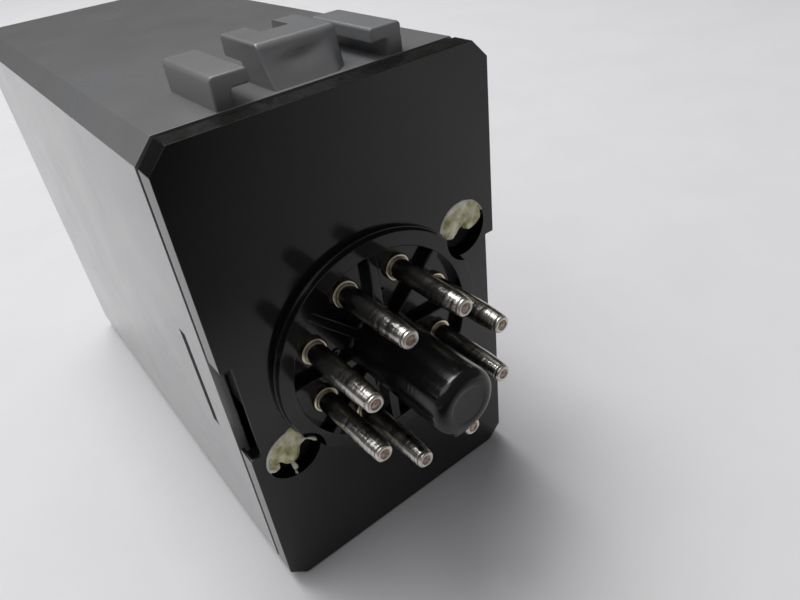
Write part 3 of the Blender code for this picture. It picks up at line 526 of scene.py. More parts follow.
def case_ring(y, drawn_in, radius):
    """Ring of the case's outline: chamfered corners, drafted sides and top, flat bottom."""
    draft = DRAFT * (y - RIM_Y)
    corner = CORNER - drawn_in * (2 - math.sqrt(2))
    side = HALF_X - drawn_in - draft
    top = HALF_Z - drawn_in - draft
    foot = -HALF_Z + drawn_in
    outline = [
        (side - corner, foot), (side, foot + corner), (side, top - corner), (side - corner, top),
        (corner - side, top), (-side, top - corner), (-side, foot + corner), (corner - side, foot),
    ]
    return [Vector((point.x, y, point.y)) for point in round_corners(outline, radius)]


def case_shell():
    quarter = [math.pi / 2 * step / 5 for step in range(6)]
    rim, far = 0.07, 0.6
    rings = [case_ring(RIM_Y + rim * (1 - math.cos(a)), rim * (1 - math.sin(a)), 0.22) for a in quarter]
    rings += [case_ring(END_Y - far + far * math.sin(a), far * (1 - math.cos(a)), 0.22) for a in quarter]
    outer = loft(rings)
    lip = [case_ring(RIM_Y - 1.0, WALL - 0.12, 0.2), case_ring(RIM_Y, WALL - 0.12, 0.2)]
    lip += [case_ring(RIM_Y + 0.12, WALL, 0.2), case_ring(END_Y - FRONT_WALL, WALL, 0.2)]
    tools = [loft(lip)]
    for side in (-1, 1):
        walls = sorted((side * (HALF_X - 3.0), side * (HALF_X + 1.0)))
        tools.append(block((walls[0], 8.2, -6.95), (walls[1], 9.75, 6.35), 0.12))
    tools.append(block((-13.8, END_Y - 0.7, -22.3), (13.8, END_Y + 1.0, 22.3), 0.15))
    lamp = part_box("indicator_led")
    place = ((lamp[0] + lamp[1]) / 2 - ORIGIN) / MM
    tools.append(lathe([(0, 3 - END_Y), (1.8, 3 - END_Y), (1.8, -END_Y - 1), (0, -END_Y - 1)], 48, (place.x, place.z)))
    return carved(outer, *tools)


def clip_rail(side):
    """L-shaped rail with its lip turned inwards and a softened outer edge."""
    top = HALF_Z + 2.85
    outline = [
        (9.9, HALF_Z - 0.6), (9.9, top), (6.3, top), (6.3, top - 1.35), (8.1, top - 1.35), (8.1, HALF_Z - 0.6),
    ]
    return bar(outline, [0.02, 0.42, 0.28, 0.20, 0.22, 0.02], 3.3, 13.6, 0.26,
               lambda across, up, along: Vector((side * across, along, up)))


def clip_hook():
    """Forked hook: a front wall that flares out to the rim, and a plate that points into the box."""
    top = HALF_Z + 3.7
    wall = 5.6
    front = [(wall, top - 0.55 - 3.15 * step / 20) for step in range(21)]
    outline = [
        (9.4, HALF_Z - 0.6), (9.4, top - 2.05), (12.9, top - 2.05), (12.9, top), (wall, top),
        *front, (wall, HALF_Z - 0.6),
    ]
    radii = [0.02, 0.2, 0.2, 0.28, 0.5] + [0.02] * 22
    stations = [-3.7 + 7.4 * step / 22 for step in range(23)]

    def to_point(along, up, across):
        height = max(up - HALF_Z, 0.0)
        flare = 1.95 * max(1 - height / 3.6, 0.0) ** 1.3 * (1 - 0.6 * ease(across, 2.4, 4.1))
        rise = height - 2.15 - 0.1 * across
        sunk = math.exp(-(across / 1.9) ** 2 - (rise / (0.38 if rise > 0 else 0.8)) ** 2)
        if along < wall + 1.0:
            along += 0.38 * sunk - flare
        return Vector((across, along, up))

    body = bar(outline, radii, -4.1, 4.1, 0.24, to_point, stations)
    fork = block((-1.5, 9.5, top - 3.0), (1.5, 14.0, top + 1.0), 0.18)
    return carved(body, fork)


piece(case_shell(), "case_shell", LOOKS["case"], "case", ["case"])
piece(clip_rail(-1), "clip_rail_left", LOOKS["clip"], "case", ["case"])
piece(clip_rail(1), "clip_rail_right", LOOKS["clip"], "case", ["case"])
piece(clip_hook(), "clip_hook", LOOKS["clip"], "case", ["case"])


# Plug base

FIXINGS = {"upper": (FIX_X, FIX_Z), "lower": (-FIX_X, -FIX_Z)}
PINS = {
    number + 1: math.radians(270 - 22.5 - 45 * number) for number in range(8)
}


def fix_bore(place):
    return lathe([(0, 4.0), (FIX_RADIUS, 4.0), (FIX_RADIUS, -FIX_DEPTH), (0, -FIX_DEPTH)], 64, place)


def plug_plate():
    """Plate with chamfered corners, side notches with thin lips and the two fixing holes."""
    notch_x = HALF_X - NOTCH_DEPTH
    notch_z = NOTCH_LENGTH / 2
    half = [
        (HALF_X - CORNER, -HALF_Z), (HALF_X, -HALF_Z + CORNER), (HALF_X, -notch_z), (notch_x, -notch_z),
        (notch_x, notch_z), (HALF_X, notch_z), (HALF_X, HALF_Z - CORNER), (HALF_X - CORNER, HALF_Z),
    ]
    outline = half + [(-x, z) for x, z in reversed(half)]
    radii = [0.2, 0.2, 0.16, 0.12, 0.12, 0.16, 0.2, 0.2] * 2
    body = bar(outline, radii, 0.0, PLATE_THICKNESS, 0.05,
               lambda across, up, along: Vector((across, along, up)))
    tools = [fix_bore(place) for place in FIXINGS.values()]
    for place in FIXINGS.values():
        tools.append(lathe([(0, 0), (1.5, 0), (1.5, -4), (0, -4)], 32, place))
    for side in (-1, 1):
        walls = sorted((side * (notch_x - 0.9), side * (HALF_X - 0.4)))
        tools.append(block((walls[0], 0.35, -notch_z - 0.8), (walls[1], 4.0, notch_z + 0.2)))
    return carved(body, *tools)


def boss_ring():
    """Raised ring with a small step in its steep wall, cut by the fixing holes."""
    r, top = BOSS_RADIUS, BOSS_HEIGHT
    profile = [
        (r, -0.4), *arc((r - 0.06, 0.46), 0.06, 0, 80, 3), (r - 0.12, 0.53), (r - 0.14, 0.57),
        *arc((r - 0.29, top - 0.07), 0.07, 5, 90, 4),
        *arc((POCKET_RADIUS + 0.15, top - 0.15), 0.15, 90, 180, 4), (POCKET_RADIUS - 0.04, -0.4),
    ]
    return carved(lathe(profile, 160, closed=True), *[fix_bore(place) for place in FIXINGS.values()])


def rib(angle):
    """Radial rib between two pins."""
    turn = Matrix.Rotation(-angle, 3, "Y")
    half = RIB_WIDTH / 2
    outline = [(half, -0.4), (half, BOSS_HEIGHT - 0.1), (-half, BOSS_HEIGHT - 0.1), (-half, -0.4)]
    return bar(outline, [0.02, 0.14, 0.14, 0.02], 2.6, POCKET_RADIUS + 0.6, 0.1,
               lambda across, up, along: turn @ Vector((along, -up, across)))


def key_post():
    """Post with a rounded end, a shallow dish and the locating ridge."""
    r, top = POST_RADIUS, POST_LENGTH
    profile = [
        (0, top - 0.06), (1.86, top - 0.05), (2.02, top - 0.04), (2.14, top - 0.012), (2.26, top),
        *arc((r - 1.19, top - 1.15), 1.15, 90, 0, 12),
        (r - 0.03, top - 3.0), (r, 0.5), *arc((r + 0.35, 0.35), 0.35, 180, 270, 4), (r + 0.2, -0.4), (0, -0.4),
    ]
    ridge = [(1.0, -3.0), (1.0, r + 1.1), (-1.0, r + 1.1), (-1.0, -3.0)]
    key = bar(ridge, [0.02, 0.25, 0.25, 0.02], -0.4, POST_LENGTH - 1.2, 0.2,
              lambda across, down, along: Vector((across, -along, -down)))
    return merged(lathe(profile, 96), key)


def numeral(number, angle):
    """Small moulded pin number on the pocket floor."""
    curve = bpy.data.curves.new(f"numeral_{number}", "FONT")
    curve.body = str(number)
    curve.size = 1.7
    curve.align_x = "CENTER"
    curve.align_y = "CENTER"
    curve.extrude = 0.10
    curve.bevel_depth = 0.05
    curve.bevel_resolution = 1
    obj = bpy.data.objects.new(curve.name, curve)
    bpy.context.scene.collection.objects.link(obj)
    mesh = obj.evaluated_get(bpy.context.evaluated_depsgraph_get()).to_mesh()
    bm = bmesh.new()
    bm.from_mesh(mesh)
    bpy.data.objects.remove(obj)
    bpy.data.curves.remove(curve)
    bmesh.ops.rotate(bm, matrix=Matrix.Rotation(math.radians(90), 3, "X"), verts=bm.verts)
    where = Vector((5.6 * math.cos(angle), -0.08, 5.6 * math.sin(angle)))
    bmesh.ops.translate(bm, vec=where, verts=bm.verts)
    return bm


def numerals():
    shift = math.radians(10)
    return merged(*[numeral(number, angle + shift) for number, angle in PINS.items()])


piece(plug_plate(), "plug_plate", LOOKS["plug"], "base", ["plug_base"])
piece(boss_ring(), "boss_ring", LOOKS["plug"], "base", ["plug_base"])
piece(merged(*[rib(math.radians(45 * index)) for index in range(8)]), "pocket_ribs", LOOKS["plug"], "base",
      ["plug_base"])
piece(key_post(), "key_post", LOOKS["post"], "base", ["plug_base"])
piece(numerals(), "pin_numerals", LOOKS["plug"], "base", ["plug_base"])


# Pins

def pin_body(place):
    """Hollow pin, a little drawn in towards its tip."""
    r, top = PIN_RADIUS, PIN_LENGTH
    profile = [
        (0, top - 0.5), (0.95, top - 0.44), (1.005, top - 0.50), (1.05, top - 0.85), (1.10, top - 1.4),
        (1.15, top - 2.2), (r, top - 3.4), (r, 0.2), (r, -4.7), (0, -4.7),
    ]
    return lathe(profile, 48, place)


def pin_cap(place):
    """Button of tin that closes the tip, never quite round."""
    top = PIN_LENGTH
    profile = [
        (0, top - 0.14), (0.54, top - 0.13), *arc((0.68, top - 0.12), 0.12, 190, 80, 5),
        *arc((0.76, top - 0.20), 0.20, 75, 0, 6), (0.985, top - 0.44), (0.9, top - 0.56), (0, top - 0.6),
    ]
    bm = lathe(profile, 40, place)
    for vert in bm.verts:
        vert.co += noise.noise_vector(vert.co * 1.3) * 0.05
        vert.co.y = max(vert.co.y, -top)
    return bm


def pin_solder(place):
    profile = [(0, PIN_LENGTH - 0.05), (0.28, PIN_LENGTH - 0.06), (0.50, PIN_LENGTH - 0.09), (0.66, PIN_LENGTH - 0.17),
               (0, PIN_LENGTH - 0.4)]
    bm = lathe(profile, 24, place)
    for vert in bm.verts:
        vert.co += noise.noise_vector(vert.co * 2.3) * 0.05
    return bm


def pin_collar(place):
    """Flanged eyelet round the root of a pin."""
    r = PIN_RADIUS
    profile = [
        (r + 0.03, -0.2), (r + 0.03, 0.42), *arc((r + 0.11, 0.48), 0.08, 180, 90, 3),
        *arc((r + 0.21, 0.39), 0.17, 90, 0, 6), (r + 0.38, -0.2),
    ]
    return lathe(profile, 48, place, closed=True)


for pin_number, pin_angle in PINS.items():
    pin_place = (PIN_CIRCLE / 2 * math.cos(pin_angle), PIN_CIRCLE / 2 * math.sin(pin_angle))
    node_name = f"pin_{pin_number}"
    piece(pin_body(pin_place), f"pin_{pin_number}_body", LOOKS["pin"], "base", [node_name])
    piece(pin_cap(pin_place), f"pin_{pin_number}_cap", LOOKS["tinned"], "base", sharp=60.0)
    piece(pin_solder(pin_place), f"pin_{pin_number}_solder", LOOKS["solder"], "base")
    piece(pin_collar(pin_place), f"pin_{pin_number}_collar", LOOKS["collar"], "base")


# Sealant over the fixing screws

def edge_distance(outline, u, v):
    """Distance to a closed outline, positive inside it."""
    best, inside = 1e9, False
    for index, (x1, y1) in enumerate(outline):
        x0, y0 = outline[index - 1]
        dx, dy = x1 - x0, y1 - y0
        t = max(0.0, min(1.0, ((u - x0) * dx + (v - y0) * dy) / (dx * dx + dy * dy)))
        best = min(best, math.hypot(u - x0 - t * dx, v - y0 - t * dy))
        if (y0 > v) != (y1 > v) and u < x0 + (v - y0) * dx / dy:
            inside = not inside
    return best if inside else -best


def seal(place, outline, bulges, peak):
    """Blob of set glue in a fixing hole: steep where it ends, wetted on to the rim elsewhere."""
    bm = bmesh.new()
    rings, segments, floor = 30, 96, 2.05
    rows = []
    for ring in range(rings + 1):
        row = []
        for segment in range(segments if ring else 1):
            angle = 2 * math.pi * segment / segments
            over = 0.07 + peak[1] * math.exp(-((math.degrees(angle) - peak[0]) / 11.0) ** 2)
            radius = (FIX_RADIUS + over) * ring / rings
            u, v = radius * math.cos(angle), radius * math.sin(angle)
            inside = edge_distance(outline, u, v) + 0.22
            grain = noise.noise(Vector((u * 1.1, v * 1.1, place[0])))
            y = floor - 1.90 * ease(inside, -0.36, 0.10) - 0.22 * ease(inside, 0.1, 1.3) - 0.14 * grain
            for bu, bv, size, rise in bulges:
                y -= rise * math.exp(-((u - bu) ** 2 + (v - bv) ** 2) / size ** 2)
            if radius > FIX_RADIUS - 0.1:
                y = min(y, -0.02 - 0.5 * (FIX_RADIUS + over - radius)) if inside > 0 else y
            row.append((bm.verts.new((place[0] + u, y, place[1] + v)), inside))
        rows.append(row)
    for lower, upper in zip(rows, rows[1:]):
        for segment in range(segments):
            follow = (segment + 1) % segments
            corners = [lower[segment % len(lower)], lower[follow % len(lower)], upper[follow], upper[segment]]
            if min(inside for _, inside in corners) > -0.42:
                bm.faces.new(list(dict.fromkeys(vert for vert, _ in corners)))
    bmesh.ops.delete(bm, geom=[vert for vert in bm.verts if not vert.link_faces], context="VERTS")
    grown = bmesh.ops.extrude_face_region(bm, geom=bm.faces[:])
    for vert in grown["geom"]:
        if isinstance(vert, bmesh.types.BMVert):
            vert.co.y = floor + 0.03
    bmesh.ops.recalc_face_normals(bm, faces=bm.faces)
    return bm


def strand(points, sizes, segments=10, uneven=0.25):
    """Tapered round strand through points, each with its own thickness."""
    route = []
    for index in range(len(points) - 1):
        ends = [Vector(points[max(0, min(len(points) - 1, index + step))]) for step in (-1, 0, 1, 2)]
        for step in range(6):
            t = step / 6
            bend = (2 * ends[0] - 5 * ends[1] + 4 * ends[2] - ends[3]) * t * t
            twist = (3 * ends[1] - 3 * ends[2] + ends[3] - ends[0]) * t * t * t
            point = (2 * ends[1] + (ends[2] - ends[0]) * t + bend + twist) / 2
            route.append((point, sizes[index] + (sizes[index + 1] - sizes[index]) * ease(t, 0, 1)))
    route.append((Vector(points[-1]), sizes[-1]))
    rings = []
    for index, (point, size) in enumerate(route):
        ahead = route[min(index + 1, len(route) - 1)][0] - route[max(index - 1, 0)][0]
        side = ahead.cross(Vector((0.3, 1.0, 0.2))).normalized()
        lift = ahead.cross(side).normalized()
        turns = [2 * math.pi * step / segments for step in range(segments)]
        wave = 1 + uneven * noise.noise(point * 2.0)
        rings.append([point + (side * math.cos(a) + lift * math.sin(a)) * size * wave for a in turns])
    return loft(rings)


def rim_bead(place, start, end, size, steps=9):
    """Thin pale bead of glue along a stretch of a hole's rim."""
    points, sizes = [], []
    for step in range(steps):
        share = step / (steps - 1)
        angle = math.radians(start + (end - start) * share)
        points.append((place[0] + 3.30 * math.cos(angle), -0.02, place[1] + 3.30 * math.sin(angle)))
        sizes.append(0.02 + size * math.sin(math.pi * share) ** 0.5)
    return strand(points, sizes)


def on_hole(place, *points):
    return [(place[0] + u, y, place[1] + v) for u, y, v in points]


upper, lower = FIXINGS["upper"], FIXINGS["lower"]
upper_outline = [
    (-3.9, 0.75), (-2.67, 0.17), (-2.27, -0.26), (-1.85, -0.58), (-1.41, -0.65), (-1.09, -0.53), (-0.77, -0.28),
    (-0.44, 0.09), (-0.12, 0.33), (0.20, 0.58), (0.51, 0.70), (0.79, 0.32), (0.91, -0.12), (1.20, -0.50),
    (1.82, -0.38), (2.46, -0.14), (2.80, 0.24), (2.83, 0.74), (2.75, 1.35), (4.0, 1.9), (2.5, 4.0), (-1.0, 4.4),
    (-3.6, 2.6),
]
lower_outline = [
    (-3.9, -0.3), (-3.02, -0.48), (-2.64, -0.95), (-2.16, -1.02), (-2.09, -0.75), (-2.44, -0.60), (-2.60, -0.11),
    (-2.36, 0.30), (-2.0, 0.05), (-1.55, -0.25), (-1.25, -0.62), (-0.95, -1.02), (-0.55, -1.19), (-0.02, -1.13),
    (0.32, -0.75), (0.48, -0.06), (0.72, 0.40), (1.03, 0.64), (1.46, 0.79), (1.33, 1.36), (0.99, 2.09), (0.65, 2.81),
    (0.42, 3.9), (-1.5, 4.4), (-4.0, 1.8),
]
piece(seal(upper, upper_outline, [(0.6, 1.6, 1.3, 0.12), (-2.2, 0.6, 0.7, 0.15)], (60.0, 0.05)), "seal_upper_blob",
      LOOKS["seal"], "base", ["seal_upper"], 60.0)
piece(rim_bead(upper, 62, 172, 0.13), "seal_upper_rim", LOOKS["seal_skin"], "base", sharp=60.0)
piece(seal(lower, lower_outline, [(-0.30, -0.1, 0.75, 0.50), (-1.6, 1.6, 1.0, 0.10)], (84.0, 0.35)), "seal_lower_blob",
      LOOKS["seal"], "base", ["seal_lower"], 60.0)
strings = [
    strand(on_hole(lower, (1.0, 0.30, 1.45), (1.35, 0.12, 1.15), (1.8, 0.02, 0.95), (2.25, -0.04, 0.70),
                   (2.6, -0.05, 0.32), (2.85, 0.0, -0.10)), [0.26, 0.17, 0.09, 0.20, 0.24, 0.05]),
    strand(on_hole(lower, (-0.43, 0.75, -1.40), (-0.36, 0.50, -1.85), (-0.26, 0.35, -2.35), (-0.24, 0.40, -2.75)),
           [0.08, 0.24, 0.30, 0.08]),
    strand(on_hole(lower, (-0.40, 0.40, -2.85), (-0.34, 0.25, -3.10), (-0.28, 0.12, -3.28)), [0.06, 0.15, 0.06]),
    strand(on_hole(lower, (-3.20, 0.02, -0.2), (-3.02, 0.08, -0.55), (-2.62, 0.15, -0.85), (-2.15, 0.25, -0.88)),
           [0.18, 0.24, 0.22, 0.08]),
]
piece(merged(rim_bead(lower, 78, 196, 0.17), *strings), "seal_lower_strings", LOOKS["seal_skin"], "base",
      sharp=60.0)


# Works inside the case

def node_box(name):
    """Lowest corner, highest corner and middle of a CAD node, in millimetres."""
    low, high = [(corner - ORIGIN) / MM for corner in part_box(name)]
    return low, high, (low + high) / 2


def turned_along(profile, segments, start, direction):
    """Turned shape whose heights run from a point along a direction."""
    bm = lathe(profile, segments)
    turn = Vector((0, -1, 0)).rotation_difference(Vector(direction)).to_matrix()
    bmesh.ops.rotate(bm, matrix=turn, verts=bm.verts)
    bmesh.ops.translate(bm, vec=start, verts=bm.verts)
    return bm


def box_outline(half_across, half_up):
    return [(half_across, -half_up), (half_across, half_up), (-half_across, half_up), (-half_across, -half_up)]


def winding(outer, under, inner, start, end, pitch, to_point):
    """Hollow winding whose outer face follows the wire's helix between two outlines."""
    stations = round((end - start) / pitch * 6)
    rings = []
    for station in range(stations + 1):
        along = start + (end - start) * station / stations
        turns = [along / pitch - index / len(outer) for index in range(len(outer))]
        ridges = [abs(math.sin(math.pi * turn)) for turn in turns]
        rings.append([to_point(low.lerp(high, ridge), along) for low, high, ridge in zip(under, outer, ridges)])
    rings += [[to_point(point, place) for point in inner] for place in (end, start)]
    return loft([*rings, rings[0]], closed_ends=False)


def transformer_sheets():
    """Stacked core sheets with two windows, each closed by a bar at alternate ends."""
    low, high, middle = node_box("transformer_core")
    sheet, leg, window_end, window_half = 0.48, 4.0, 9.0, 7.0
    sheets = []
    for index in range(int((high.x - low.x) / sheet)):
        x = low.x + index * sheet
        shift = 0.05 * noise.noise_vector(Vector((index * 3.7, 0.5, 0.5)))
        body = block((x, low.y + 0.06, low.z + 0.06), (x + sheet - 0.05, high.y - 0.06, high.z - 0.06), 0.03, 1)
        tools = []
        for side in (-1, 1):
            ends = sorted((middle.y + side * leg, middle.y + side * window_end))
            tools.append(block((x - 1, ends[0], middle.z - window_half), (x + 1, ends[1], middle.z + window_half)))
        joint = middle.z + window_half * (1 if index % 2 else -1)
        tools.append(block((x - 1, low.y - 1, joint - 0.03), (x + 1, high.y + 1, joint + 0.03)))
        cut = carved(body, *tools)
        bmesh.ops.translate(cut, vec=(0.0, shift.y, shift.z), verts=cut.verts)
        sheets.append(cut)
    return merged(*sheets)


def transformer_coil(skin, depth, wire, half_height):
    """Ring of wire or tape round the transformer's leg, a skin's depth inside its space."""
    low, high, middle = node_box("transformer_winding")
    half = (high - low) / 2
    outer = round_corners(box_outline(half.x - skin, half.y - skin), 1.6, 5)
    under = round_corners(box_outline(half.x - skin - wire / 3, half.y - skin - wire / 3), 1.5, 5)
    inner = round_corners(box_outline(half.x - skin - depth, half.y - skin - depth), 0.4, 5)
    return winding(outer, under, inner, -half_height, half_height, wire,
                   lambda point, up: middle + Vector((point.x, point.y, up)))


def relay_turns():
    low, high, middle = node_box("relay_coil")
    radius = (high.z - low.z) / 2
    circle = [Vector((math.cos(a), math.sin(a))) for a in [math.radians(6 * step) for step in range(60)]]
    outer, under, inner = [[point * size for point in circle] for size in (radius, radius - 0.13, radius - 2.0)]
    return winding(outer, under, inner, low.x, high.x, 0.39,
                   lambda point, along: Vector((along, middle.y + point.x, middle.z + point.y)))


def chip_body():
    """Moulded chip body with drafted halves, an end notch and a dimple at its first leg."""
    low, high, middle = node_box("comparator_chip")
    half = (high - low) / 2
    rings = []
    for level, drawn_in in ((0.3, 0.3), (0.5, 0.22), (1.75, 0.0), (1.95, 0.0), (3.2, 0.22), (3.4, 0.34)):
        ring = round_corners(box_outline(half.y - drawn_in, half.z - drawn_in), 0.12)
        rings.append([Vector((low.x + level, middle.y + point.x, middle.z + point.y)) for point in ring])
    notch = turned_along([(0, -0.5), (0.9, -0.5), (0.9, 0.5), (0, 0.5)], 32, (high.x, low.y + 0.2, middle.z), (1, 0, 0))
    dimple = turned_along([(0, -0.15), (0.5, -0.15), (0.5, 0.5), (0, 0.5)], 24,
                          (high.x, low.y + 1.6, high.z - 1.5), (1, 0, 0))
    return carved(loft(rings), notch, dimple)


def chip_legs():
    low, high, middle = node_box("comparator_chip")
    level = low.x + 1.85
    legs = []
    for side in (-1, 1):
        for y in CHIP_ROWS:
            tops = sorted((middle.z + side * 3.0, middle.z + side * CHIP_REACH))
            downs = sorted((middle.z + side * (CHIP_REACH - 0.25), middle.z + side * CHIP_REACH))
            legs.append(block((level - 0.12, y - 0.65, tops[0]), (level + 0.13, y + 0.65, tops[1]), 0.05, 1))
            legs.append(block((level - 1.0, y - 0.65, downs[0]), (level + 0.1, y + 0.65, downs[1]), 0.05, 1))
            legs.append(block((low.x - 0.3, y - 0.25, downs[0]), (level - 0.9, y + 0.25, downs[1]), 0.05, 1))
    return merged(*legs)


def capacitor_can():
    """Shrunk sleeve with a rolled groove near the seat, turned over round its metal top."""
    low, high, middle = node_box("filter_capacitor")
    r, top = (high.z - low.z) / 2, high.x - low.x
    sleeve = [
        (0, 0), (r - 0.5, 0), *arc((r - 0.4, 0.4), 0.4, -90, 0, 4), (r, 1.5), *arc((r, 2.1), 0.42, 250, 110, 6),
        (r, 2.7), *arc((r - 0.7, top - 0.75), 0.7, 0, 90, 6), (r - 1.0, top - 0.07), (r - 1.02, top - 0.22), (0, top - 0.22),
    ]
    seat = Vector((high.x, middle.y, middle.z))
    stripe = [(math.radians(80 + 4 * step), r - 0.05) for step in range(10)]
    stripe += [(angle, r + 0.03) for angle, _ in reversed(stripe)]
    rings = [
        [seat + Vector((-up, size * math.cos(angle), size * math.sin(angle))) for angle, size in stripe]
        for up in (3.0, top - 1.1)
    ]
    lid = turned_along([(0, top - 0.12), (r - 1.05, top - 0.12), (r - 1.05, top - 0.4), (0, top - 0.4)], 48, seat, (-1, 0, 0))
    scores = [
        block((low.x - 1, middle.y - along, middle.z - across), (low.x + 0.2, middle.y + along, middle.z + across))
        for along, across in ((3.0, 0.12), (0.12, 3.0))
    ]
    return turned_along(sleeve, 64, seat, (-1, 0, 0)), loft(rings), carved(lid, *scores)


def bridge_body():
    """Rectifier block with one corner cut to mark its positive lead."""
    low, high, middle = node_box("bridge_rectifier")
    outline = [(low.y, low.z), (high.y, low.z), (high.y, high.z - 1.8), (high.y - 1.8, high.z), (low.y, high.z)]
    return bar(outline, [0.3] * 5, low.x, high.x, 0.25, lambda y, z, x: Vector((x, y, z)))


def board_screw(name):
    """Pan head with a cross recess."""
    low, high, middle = node_box(name)
    side = math.copysign(1.0, middle.x)
    head, length = (high.z - low.z) / 2, high.x - low.x
    top = high.x if side > 0 else low.x
    profile = [
        (0, 0), *arc((head - 0.5, -0.5), 0.5, 90, 0, 5), (head, -0.8), (head / 2, -0.8), (head / 2, -length), (0, -length),
    ]
    bm = turned_along(profile, 40, (top, middle.y, middle.z), (side, 0, 0))
    ends = sorted((top - side * 0.45, top + side))
    slots = [
        block((ends[0], middle.y - along, middle.z - across), (ends[1], middle.y + along, middle.z + across))
        for along, across in ((0.85, 0.17), (0.17, 0.85))
    ]
    return carved(bm, *slots)


def resistor(board_face, side, y, z):
    """Axial resistor lying along the box: body, rings and bent leads."""
    x = board_face - side * 1.5
    half = [(0.30, 3.3), (0.75, 3.2), (1.04, 2.95), (1.10, 2.5), (1.04, 2.1), (0.95, 1.8)]
    profile = [(radius, along - y) for radius, along in half] + [(radius, -along - y) for radius, along in reversed(half)]
    body = lathe([(0, 3.3 - y), *profile, (0, -3.3 - y)], 28, (x, z))
    bands = [
        lathe([(r - 0.1, at - y), (r, at - y), (r, at + 0.45 - y), (r - 0.1, at + 0.45 - y)], 28, (x, z), closed=True)
        for r, at in ((0.98, -1.5), (0.98, -0.6), (0.98, 0.3), (1.12, 2.3))
    ]
    leads = [
        strand([(x, y + end * 3.2, z), (x, y + end * 4.3, z), (x + side * 0.5, y + end * 4.9, z), (board_face, y + end * 5.0, z)],
               [0.3, 0.3, 0.3, 0.3], 10, 0.0)
        for end in (-1, 1)
    ]
    return body, bands, leads


def rounded_path(points, width):
    """Outline of a flat strip of one width along a route, with round ends."""
    route = [Vector(point) for point in points]
    steps = [(end - start).normalized() for start, end in zip(route, route[1:])]
    left, right = [], []
    for point, before, after in zip(route, [steps[0], *steps], [*steps, steps[-1]]):
        mitre = (before + after).normalized()
        reach = width / 2 / mitre.dot(after)
        left.append(point + Vector((-mitre.y, mitre.x)) * reach)
        right.append(point - Vector((-mitre.y, mitre.x)) * reach)
    outline = []
    for start, centre, side in ((left[-1], route[-1], right), (right[0], route[0], left)):
        arm = start - centre
        outline += [centre + Matrix.Rotation(-math.pi * step / 8, 2) @ arm for step in range(9)]
        outline += reversed(side[1:-1]) if side is right else side[1:-1]
    return outline


def flat_on_board(outline, side, rise):
    """Thin raised area on the outer face of a board."""
    rings = [
        [Vector((side * level, point.x, point.y)) for point in inset(list(reversed(outline)), drawn_in)]
        for level, drawn_in in ((BOARD_FACE - 0.02, 0.0), (BOARD_FACE + rise * 0.6, 0.0), (BOARD_FACE + rise, 0.04))
    ]
    return loft(rings)


def joint(side, y, z):
    """Soldered lead that stands a little out of a board."""
    profile = [(0, 0.95), (0.22, 0.93), (0.30, 0.82), (0.33, 0.6), (0.45, 0.38), (0.7, 0.18), (0.98, 0.05), (1.0, -0.02), (0, -0.02)]
    return turned_along(profile, 20, (side * BOARD_FACE, y, z), (side, 0, 0))


BOARD_FACE = 13.268
BOARD_INSIDE = 11.668
CHIP_ROWS = [50.69 + 2.54 * row for row in range(4)]
CHIP_REACH = 3.93
WIRE_END = 14.4
RESISTORS = {1: [(27.0, 21.0), (27.0, 17.5), (31.0, 14.0), (33.0, -20.5)],
             -1: [(29.0, -3.0), (29.0, -7.0), (31.0, -11.0), (31.0, -15.0), (29.0, -19.0)]}
LEADS = {
    1: [(WIRE_END, 13.0), (WIRE_END, -13.0), (23.0, -9.5), (23.0, -14.5), (51.4, 5.2), (51.4, 10.8), (56.2, 5.2),
        (56.2, 10.8), (45.2, -16.3), (45.2, -3.7), (60.4, -16.3), (60.4, -3.7), (65.6, 16.73), (65.6, 19.27)],
    -1: [(WIRE_END, 13.0), (WIRE_END, -13.0), (17.8, 11.0), (19.2, 8.0), (30.0, 18.2), (30.0, 3.8), (42.0, 7.0), (42.0, 15.0),
         *[(y, 11.0 + side * 3.81) for side in (-1, 1) for y in CHIP_ROWS]],
}
